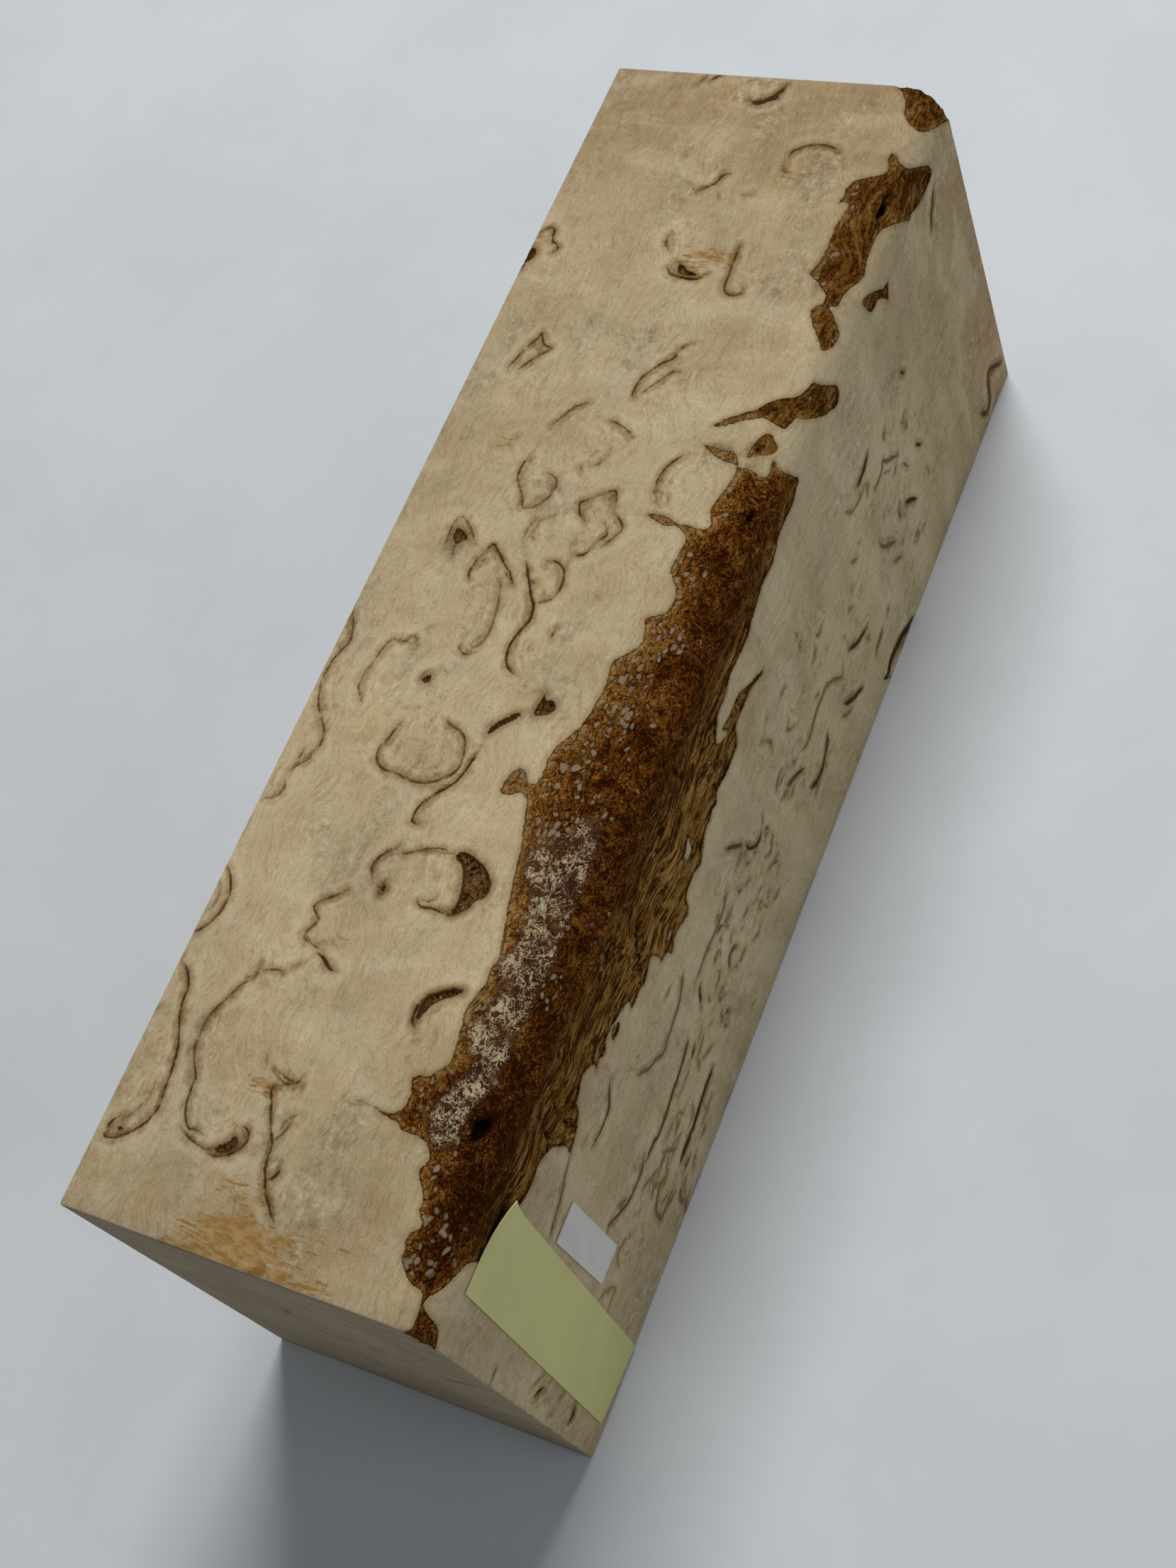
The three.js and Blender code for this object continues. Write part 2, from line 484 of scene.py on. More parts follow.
    Curl(0.4, 0.7, ((1.9, 0.8), (2.4, 1.3))),
    Curl(0.24, 0.7, (
        (0.1, -0.2), (0.5, -1), (1.1, -1.65), (2, -1.8), (3, -1.7), (3.9, -1.3), (4.4, -0.6), (4.6, 0.1),
        (4.5, 0.6))),
    Curl(0.26, 0.75, (
        (9, -1.2), (9.5, -0.6), (10.1, -0.2), (10.7, 0), (11.1, -0.4), (11.6, -1), (12.2, -1.8),
        (12.5, -2.5), (12.4, -2.9), (11.8, -3.2), (11, -3.6))),
    Curl(0.5, 0.7, ((10.5, -0.35), (10.7, -0.5))),
    Curl(0.24, 0.7, (
        (10.4, -3.6), (9.9, -4.2), (9.3, -4.75), (8.8, -5), (8.2, -4.8), (7.4, -4.3), (6.8, -3.9))),
    Curl(0.36, 0.75, ((5.5, -1.7), (5.5, -2.2), (5.9, -2.7), (6.4, -3))),
    Curl(0.26, 0.7, ((7, -3.2), (7.5, -3.5), (8, -3.85), (8.6, -3.6), (9.1, -3.3))),
    Curl(0.36, 0.7, ((-3, -2.95), (-1.9, -3.05))),
    Curl(0.24, 0.7, (
        (12.1, -6.9), (12.9, -6.4), (13.9, -6.25), (14.9, -6.3), (15.9, -6.6), (16.8, -7.2),
        (17.3, -7.7))),
    Curl(0.3, 0.6, ((12.2, -8.1), (12.8, -7.9))),
    Curl(0.26, 0.65, (
        (18, 6.2), (18.7, 5.9), (19.4, 5.5), (20.1, 5.1), (20.7, 4.6), (21.1, 4), (21.3, 3.5))),
    Curl(0.24, 0.65, ((19.7, 0.9), (19.6, 0.2), (19.3, -0.6), (18.9, -1.4), (18.4, -2.2))),
    Curl(0.3, 0.35, ((19.9, 2.3), (19.8, 1.8))),
    Curl(0.22, 0.6, ((14, 1.2), (14.4, 1.5), (14.6, 1.5))),
    Curl(0.22, 0.6, ((14.5, 0.8), (14.7, 0.3), (15.2, -0.3), (15.5, -0.4))),
    Curl(0.26, 0.7, (
        (23.4, 13.1), (24, 13.2), (25, 12.8), (26, 12.5), (26.8, 12.1), (27.5, 11.7), (28.1, 11.5),
        (27.6, 11.2), (27, 10.8), (26.7, 10.2), (26.6, 9.7), (25.9, 10.4), (25.2, 11.1), (24.4, 11.7),
        (23.7, 12.1))),
    Curl(0.3, 0.75, (
        (37.4, 14.4), (37.9, 14.1), (38.4, 14.3), (38.8, 14.9), (39.4, 15.2), (40, 15.3), (40.4, 15.5),
        (40.4, 16), (40, 16.5), (39.5, 17))),
    Curl(0.35, 0.5, ((16.4, 9.05), (16.6, 8.95))),
    Curl(0.26, 0.75, (
        (22.6, -0.6), (22.6, -0.3), (23.3, -0.2), (24.2, -0.25), (25, -0.55), (25.8, -1.1), (26.5, -1.7),
        (27, -2.4), (27.6, -2.75), (28.3, -2.9), (28.9, -3.4), (29.2, -4))),
    Curl(0.24, 0.65, ((22.7, -0.8), (23.5, -1.4), (24.4, -2), (25.2, -2.6), (25.8, -3.2), (26, -4))),
    Curl(0.3, 0.8, (
        (37.2, 2.1), (36.6, 1.6), (36.3, 0.9), (36.2, 0), (36.15, -0.8), (36.3, -1.5), (36.9, -2.2))),
    Curl(0.26, 0.7, (
        (35.8, -6.2), (35.2, -6.3), (34.9, -5.8), (34.85, -5.2), (35.2, -4.6), (35.9, -4.35), (37, -4.3),
        (38.2, -4.2), (39.5, -4.15), (40.7, -4.1))),
    Curl(0.26, 0.65, ((39, 2.7), (39.6, 3.1), (40.2, 3.4), (41, 3.35))),
    Curl(0.3, 0.7, (
        (46.3, 2.5), (46.8, 2), (47.2, 1.5), (47.5, 1.1), (48.1, 0.9), (48.6, 0.6), (48.8, 0))),
    Curl(0.26, 0.5, ((45.6, 0), (46.4, 0.4))),
    Curl(0.26, 0.6, ((59.3, 7.8), (59.9, 7.5), (60.6, 7.1), (61, 6.9))),
    Curl(0.42, 0.75, ((60, 6.6), (60.4, 6.2), (60.9, 5.6))),
    Curl(0.48, 0.8, ((57.4, 1), (57.6, 0.4), (57.9, -0.2), (58.2, -0.8), (58.6, -1.2), (59, -1.2))),
    Curl(0.36, 0.6, ((46.4, -2.2), (46.5, -3))),
    Curl(0.3, 0.7, (
        (51.2, -5), (52, -5.1), (52.5, -5.6), (52.9, -6.3), (53.1, -7.2), (53.1, -8.2), (52.8, -9.2),
        (52.5, -9.6))),
    Curl(0.26, 0.65, ((49.3, -5.6), (49.7, -5.1), (50.2, -4.8))),
    Curl(0.26, 0.8, (
        (-38.9, -6.3), (-38.4, -5.85), (-37.6, -5.7), (-36.8, -5.8), (-36.2, -6.1), (-35.6, -6.8),
        (-35.2, -7.5), (-34.9, -8.3), (-34.8, -9))),
)

# Small dark pockets on the top face, as (x, y).
TOP_POCKETS = (
    Patch((
        (-53, 5.7), (-52.6, 5.7), (-52, 5), (-51.4, 4.6), (-51.6, 4.2), (-52.2, 4.1), (-52.8, 4.6),
        (-53, 5.2))),
    Patch(((-54.0, 15.35), (-53.75, 15.2), (-53.6, 14.7), (-53.85, 14.75))),
    Patch(((-28.75, 1.7), (-28.5, 1.95), (-28.1, 1.9), (-28.0, 1.7), (-28.3, 1.55))),
    Patch((
        (-29, -5), (-28, -5.15), (-27, -5.05), (-25.8, -4.7), (-24.7, -4.1), (-24.3, -3.3), (-23.8, -3.4),
        (-23.6, -4), (-23.9, -5.1), (-24.4, -6.2), (-25, -6.8), (-25.6, -7.3), (-26.5, -7.45),
        (-27.1, -7.2), (-27.4, -6.7), (-28.2, -6.3), (-28.8, -5.6))),
    Patch(((-9.4, 6.9), (-9.1, 7.1), (-8.7, 6.7), (-8.5, 6.45), (-9, 6.3), (-9.4, 6.5))),
    Patch((
        (4.1, 10.1), (4.6, 10), (5, 10.5), (5.6, 10.65), (6.1, 10.6), (6, 10), (5.6, 9.4), (5.2, 9.15),
        (4.9, 9.6), (4.4, 9.8))),
    Patch((
        (-12.9, -1.2), (-12.2, -1.15), (-11.5, -1.7), (-10.9, -2.3), (-10.4, -2.9), (-10.35, -3.4),
        (-10.9, -3.1), (-11.5, -2.5), (-12.1, -1.9), (-12.7, -1.5))),
    Patch((
        (-10.3, -4.6), (-9.7, -4.4), (-9, -4.55), (-8, -4.7), (-8.7, -5), (-8.6, -5.5), (-8.8, -6),
        (-9.4, -6.15), (-9.9, -5.8), (-10.1, -5.2))),
    Patch((
        (35, 16.85), (36, 16.7), (36.4, 16.35), (37, 16.1), (37.6, 16.3), (37.8, 16.6), (37.5, 16.85))),
    Patch((
        (36.6, 0.3), (36.8, 0.8), (37.4, 1), (37.8, 1), (37.6, 0.5), (37.2, 0.1), (37, -0.5), (36.9, -1),
        (36.6, -1.1), (36.5, -0.4))),
    Patch((
        (-38.3, -6.1), (-37.4, -5.9), (-36.4, -6.1), (-35.5, -7), (-35, -8.2), (-34.9, -9), (-35.5, -8.4),
        (-36, -7.6), (-36.7, -6.9), (-37.6, -6.5))),
)

# Lines on the front face, as (x, z).
FRONT_CURLS = (
    Curl(0.3, 0.5, (
        (-49.2, 27.4), (-48.3, 27.9), (-47.2, 28.1), (-46.2, 28.4), (-45.2, 28.8), (-44.3, 29.4),
        (-43.5, 29.7), (-42.8, 30))),
    Curl(0.35, 0.6, (
        (-40.8, 26.4), (-40.2, 26.3), (-39.3, 26.1), (-38.3, 26.1), (-37.3, 26.3), (-36.8, 26.8),
        (-36.2, 27.6), (-35.6, 28.2))),
    Curl(0.3, 0.6, (
        (-45.3, 16.9), (-44.7, 17), (-44.2, 16.7), (-43.6, 16.1), (-42.9, 15.5), (-42, 15), (-41, 14.7),
        (-40, 14.6), (-39, 14.7), (-38.3, 15), (-37.6, 15.3))),
    Curl(0.25, 0.5, ((-42.9, 16.6), (-42.2, 15.9), (-41.5, 15.2))),
    Curl(0.38, 0.65, (
        (-38, 14.6), (-37, 14.6), (-36, 14.5), (-35.5, 14.1), (-34.5, 14.1), (-33.5, 14.2), (-32.3, 14.5),
        (-31, 14.8), (-30, 14.9), (-29, 15), (-28.3, 15.2), (-27.4, 15.6), (-26.6, 16))),
    Curl(0.5, 0.65, ((-27.8, 13.4), (-27.2, 13.6), (-26.4, 14))),
    Curl(0.25, 0.35, ((-31.5, 13), (-29.5, 13), (-28, 13.3))),
    Curl(0.25, 0.4, ((-26.5, 13.2), (-25.5, 13.5), (-24.5, 14))),
    Curl(0.55, 0.95, (
        (-35.4, 6.9), (-34.3, 7.05), (-33, 7), (-31.7, 7.1), (-30.5, 7.4), (-29.3, 7.6), (-28.2, 7.75),
        (-27.2, 7.8), (-26.3, 8))),
    Curl(0.5, 0.7, ((-35.8, 5.1), (-35, 5.3), (-34.5, 5.5))),
    Curl(0.3, 0.4, ((-34.2, 3.7), (-33.5, 4), (-32.9, 4.4))),
    Curl(0.25, 0.3, ((-32.2, 5.2), (-30, 5.6), (-28, 5.8))),
    Curl(0.32, 0.5, (
        (-33.2, 23.4), (-32.7, 22.8), (-32.1, 21.9), (-31.4, 21.3), (-30.7, 21), (-30.2, 20.3),
        (-29.6, 20), (-28.5, 20.2), (-27, 20.5), (-25.7, 20.7), (-24.6, 21.2), (-23.8, 21.9),
        (-22.9, 22.5))),
    Curl(0.35, 0.7, ((-26, 24), (-24.8, 23.9))),
    Curl(0.3, 0.5, (
        (-22.5, 19.2), (-21.3, 19.3), (-20.2, 19.5), (-19.2, 19.5), (-18, 19.35), (-17, 19.3),
        (-16, 19.3), (-15.2, 19.5), (-14.5, 19.9), (-13.9, 20.5))),
    Curl(0.3, 0.6, ((-17.8, 18.8), (-17, 18.7), (-16.5, 18.4), (-16.3, 17.9))),
    Curl(0.35, 0.75, ((-23.6, 16.1), (-23.1, 16.7), (-22.8, 17.4), (-22.4, 17.9), (-22.1, 18.1))),
    Curl(0.3, 0.5, ((-21.2, 14.2), (-20.3, 14.4), (-19.7, 14.6), (-19.5, 15), (-19.7, 15.4))),
    Curl(0.32, 0.6, (
        (-18.5, 12.9), (-18.2, 13.5), (-17.6, 14.1), (-17, 14.1), (-16.5, 13.6), (-16.2, 13.1))),
    Curl(0.3, 0.5, ((-17.3, 11.6), (-16.7, 11.2), (-16, 11.2), (-15.4, 11.2))),
    Curl(0.3, 0.55, ((-20.9, 13.2), (-20.3, 12.9), (-19.9, 12.6))),
    Curl(0.28, 0.5, ((-23, 13.2), (-22.5, 13.1))),
    Curl(0.28, 0.5, ((-14.9, 14), (-14.5, 13.8))),
    Curl(0.28, 0.5, ((-14.2, 10), (-13.2, 9.6), (-12.5, 9.7))),
    Curl(0.5, 0.6, ((-18.6, 4.4), (-18.2, 4.2))),
    Curl(0.28, 0.45, ((-24.2, 12.6), (-23.4, 12.3))),
    Curl(0.4, 0.7, (
        (-9.2, 20.3), (-9.1, 19.4), (-8.8, 18.7), (-8.3, 18.1), (-7.7, 17.7), (-7, 17.8), (-6.5, 18.1))),
    Curl(0.3, 0.45, ((-6.1, 18.2), (-5.8, 18.8), (-5.5, 19.5))),
    Curl(0.38, 0.6, (
        (-11.6, 24.2), (-11.2, 23.5), (-10.7, 22.8), (-10.3, 22.1), (-9.8, 21.4), (-9.5, 20.7))),
    Curl(0.28, 0.4, ((-10.3, 19), (-10.1, 18.2), (-9.8, 17.6))),
    Curl(0.28, 0.45, ((-11.8, 16.8), (-11.2, 16.6), (-10.7, 16.3))),
    Curl(0.28, 0.45, ((-10.8, 13.3), (-10.2, 13.1), (-9.6, 12.9))),
    Curl(0.28, 0.45, ((-11.4, 13.4), (-11.1, 12.7), (-10.9, 12.1))),
    Curl(0.28, 0.45, ((-11, 11), (-10.8, 10.4), (-10.5, 9.8))),
    Curl(0.32, 0.5, ((-7.7, 14.8), (-7.2, 14.3), (-6.6, 14.2), (-6.1, 14.8), (-5.6, 15.2), (-5.8, 15.7))),
    Curl(0.3, 0.4, ((-8, 12.9), (-7.3, 12.5), (-6.5, 12.3), (-5.6, 12.4))),
    Curl(0.45, 0.6, ((-1, 16.5), (-0.4, 16), (0.3, 15.6), (1, 15.1), (1.7, 14.5), (2.3, 14))),
    Curl(0.6, 0.65, (
        (1.9, 10.9), (2.2, 10.4), (2.8, 10), (3.6, 9.7), (4.5, 9.7), (5.4, 10.1), (6.2, 10.6),
        (6.9, 11.2), (7.3, 11.9))),
    Curl(0.4, 0.45, (
        (3, 16.2), (3.8, 15.7), (4.7, 15.6), (5.6, 15.8), (6.5, 16.3), (7.5, 16.5), (8.6, 16.5),
        (9.8, 16.5), (10.6, 16), (11.4, 15.2), (12.2, 14.2), (12.8, 13.4))),
    Curl(0.3, 0.4, ((12.8, 13.6), (13.2, 14.2), (13.7, 15))),
    Curl(0.3, 0.4, ((3, 18), (3.5, 17.2))),
    Curl(0.3, 0.4, ((0.2, 17.8), (0.6, 17.2))),
    Curl(0.48, 0.75, ((11.4, 10.6), (11.9, 9.9), (12.6, 9.2), (13.4, 8.6), (14.3, 8.1), (15, 7.6))),
    Curl(0.32, 0.4, ((10.3, 9.9), (10.8, 9.2), (11.5, 8.6), (12.3, 8.2))),
    Curl(0.48, 0.7, ((15.1, 14.6), (15.8, 14), (16.5, 13.4), (17.3, 13), (18.2, 12.7), (19.1, 12.4))),
    Curl(0.6, 0.5, ((18.8, 7.6), (19.6, 8), (20.5, 8.2), (21.4, 8.5))),
    Curl(0.75, 0.8, (
        (18.8, 3), (19.7, 2.4), (20.5, 3), (21.5, 3.2), (22.8, 3), (24, 2.8), (25, 2.4), (26, 1.9),
        (26.8, 1.5), (27.2, 0.8))),
    Curl(0.5, 0.6, ((19.7, 2.4), (19.8, 1.4))),
    Curl(0.34, 0.4, ((22.2, 27.6), (22.7, 26.8), (23.4, 26.1), (24.3, 25.8), (25.3, 25.6), (26.3, 25.8))),
    Curl(0.52, 0.8, ((25.3, 27.4), (26.2, 27.2), (27, 27.3), (27.8, 27.6), (28.6, 28))),
    Curl(0.4, 0.5, (
        (28, 23.3), (29, 23.2), (30, 23.4), (30.6, 24), (31.2, 23.3), (32, 22.5), (32.8, 21.8),
        (33.5, 21.1))),
    Curl(0.32, 0.4, ((30, 22.9), (30.7, 22.2), (31.3, 21.6))),
    Curl(0.32, 0.4, ((22.4, 22.2), (22.8, 21.7))),
    Curl(0.42, 0.5, ((25.7, 17.2), (26, 16.3), (26.6, 15.5), (27.2, 14.8), (27.8, 14.2), (28.3, 13.6))),
    Curl(0.36, 0.45, ((26.7, 12.4), (27.5, 11.6), (28.3, 11), (28.8, 10.6))),
    Curl(0.5, 0.75, ((32.2, 15.1), (32.7, 14.5), (33.2, 14), (33.8, 13.3), (34.3, 12.6))),
    Curl(0.4, 0.75, ((37, 18.1), (37.4, 17.5), (38, 16.7))),
    Curl(0.4, 0.7, ((38, 28.2), (38.4, 27.6), (38.8, 27.1))),
    Curl(0.3, 0.45, ((17.3, 18.3), (17.7, 17.8), (18.2, 17.4))),
    Curl(0.3, 0.45, ((15, 17), (15.4, 16.6))),
    Curl(0.3, 0.45, ((28.7, 18.4), (29.2, 17.8))),
    Curl(0.45, 0.6, ((52.9, 37.2), (52.3, 36.6), (51.6, 35.8), (51, 35.1), (50.7, 34.5), (50.3, 33.8))),
    Curl(0.5, 0.6, (
        (50.8, 4.6), (51.6, 3.8), (52.3, 3.2), (53.1, 3.2), (53.6, 3.9), (53.8, 5), (54, 6), (54.4, 6.8),
        (55, 6.9), (55.8, 6.4), (56.5, 5.7), (57.2, 5.1), (58.1, 4.5))),
    Curl(0.7, 0.8, ((45.6, 0.9), (46.4, 0.9), (47.2, 0.9), (48.2, 0.6))),
    Curl(0.6, 0.6, ((7.2, 0.9), (7.8, 0.7), (8.4, 0.9))),
    Curl(0.4, 0.35, ((36, 0.8), (38, 0.8))),
    Curl(0.7, 0.7, ((-35.9, 0.3), (-35.5, 0.3))),
    Curl(0.3, 0.6, ((-1.4, 25.8), (-1.1, 25.3))),
    Curl(0.28, 0.45, ((-0.8, 25), (-0.5, 24.2), (-0.3, 23.4), (-0.5, 22.6))),
    Curl(0.26, 0.35, ((-0.1, 26.2), (0.4, 26.6), (0.9, 26.7))),
    Curl(0.34, 0.5, ((8.8, 28), (8.9, 27))),
    Curl(0.26, 0.35, (
        (-50.4, 13), (-49.7, 12.6), (-49, 11.9), (-48.6, 11), (-48.6, 10.3), (-49.6, 10.2), (-50.5, 10))),
    Curl(0.26, 0.35, ((-46.8, 11.2), (-46.5, 12.3), (-45.6, 12.9), (-44.7, 12.6), (-44.1, 12))),
    Curl(0.3, 0.5, (
        (-37.4, 9.1), (-38.2, 9.4), (-39.2, 9.2), (-40, 8.7), (-40.5, 8), (-40.7, 7), (-40.6, 6.2),
        (-39.6, 6.1), (-38.5, 6.2), (-37.5, 6.3))),
    Curl(0.26, 0.4, ((-40, 10.2), (-39.4, 10.6), (-38.6, 11))),
    Curl(0.26, 0.5, ((-61, 27.4), (-60.3, 27.6), (-59.8, 27.7))),
    Curl(0.32, 0.8, ((-60.3, 18.4), (-59.7, 17.9), (-59.2, 17.3), (-59, 16.8))),
    Curl(0.26, 0.6, ((-58.7, 16.8), (-58.3, 16.2))),
    Curl(0.45, 0.85, ((-60.2, 9), (-59.5, 8.8), (-58.8, 9.1))),
    Curl(0.26, 0.55, ((-59, 13), (-58.5, 12.5))),
    Curl(0.2, 0.4, ((-59.8, 19.6), (-58.3, 18.3))),
    Curl(0.26, 0.45, ((-60.9, 14.2), (-60.3, 13.1))),
    Curl(0.3, 0.5, ((-51.8, 1), (-50.5, 0.2))),
    Curl(0.34, 0.5, ((-38.9, 0.4), (-38.5, 1.2), (-37.6, 1.9), (-36.7, 2.2))),
    Curl(0.25, 0.3, ((-36.5, 10.2), (-35.5, 10.1))),
    Curl(0.25, 0.3, ((-36.5, 9.3), (-33, 9.2))),
    Curl(0.25, 0.3, ((-35.5, 12.3), (-33, 12.8))),
    Curl(0.25, 0.3, ((-34.3, 10.3), (-33.3, 11), (-32.5, 11.8), (-31.8, 11))),
)

# Places on the front face where short curls crowd together, as (x, z).
FRONT_CROWDS = (
    StrayCurls(34, (-21.4, 7.4), (-3.7, 19.3), seed=5, longest=3.0, darkest=0.6, bend=0.9, stride=0.45),
    StrayCurls(26, (-40.1, 1.0), (-22.9, 11.9), seed=8, longest=3.0, darkest=0.5, bend=0.2, stride=0.8),
    StrayCurls(16, (-2.7, 7.8), (15.5, 24.7), seed=13, longest=3.0, darkest=0.5, bend=0.6, stride=0.5),
    StrayCurls(18, (19.6, 6.7), (39.8, 25.6), seed=21, longest=3.0, darkest=0.5, bend=0.6, stride=0.6),
)

# Lines on the sawn near end, as (y, z).
NEAR_END_CURLS = (
    Curl(0.3, 0.3, ((2, 20.5), (0.5, 21.3), (-1, 22), (-2, 23))),
    Curl(0.3, 0.3, ((-4, 22.5), (-5, 23), (-6, 23.8))),
    Curl(0.4, 0.25, ((3.5, 24.5), (2.8, 26), (2.2, 27.5))),
    Curl(0.35, 0.3, ((-10, 20), (-11.5, 21), (-13, 22.5), (-15, 24))),
    Curl(0.6, 0.6, ((-7.7, 16.1), (-7.4, 15.9))),
    Curl(0.5, 0.55, ((-14.4, 9.6), (-14.1, 9.4))),
)

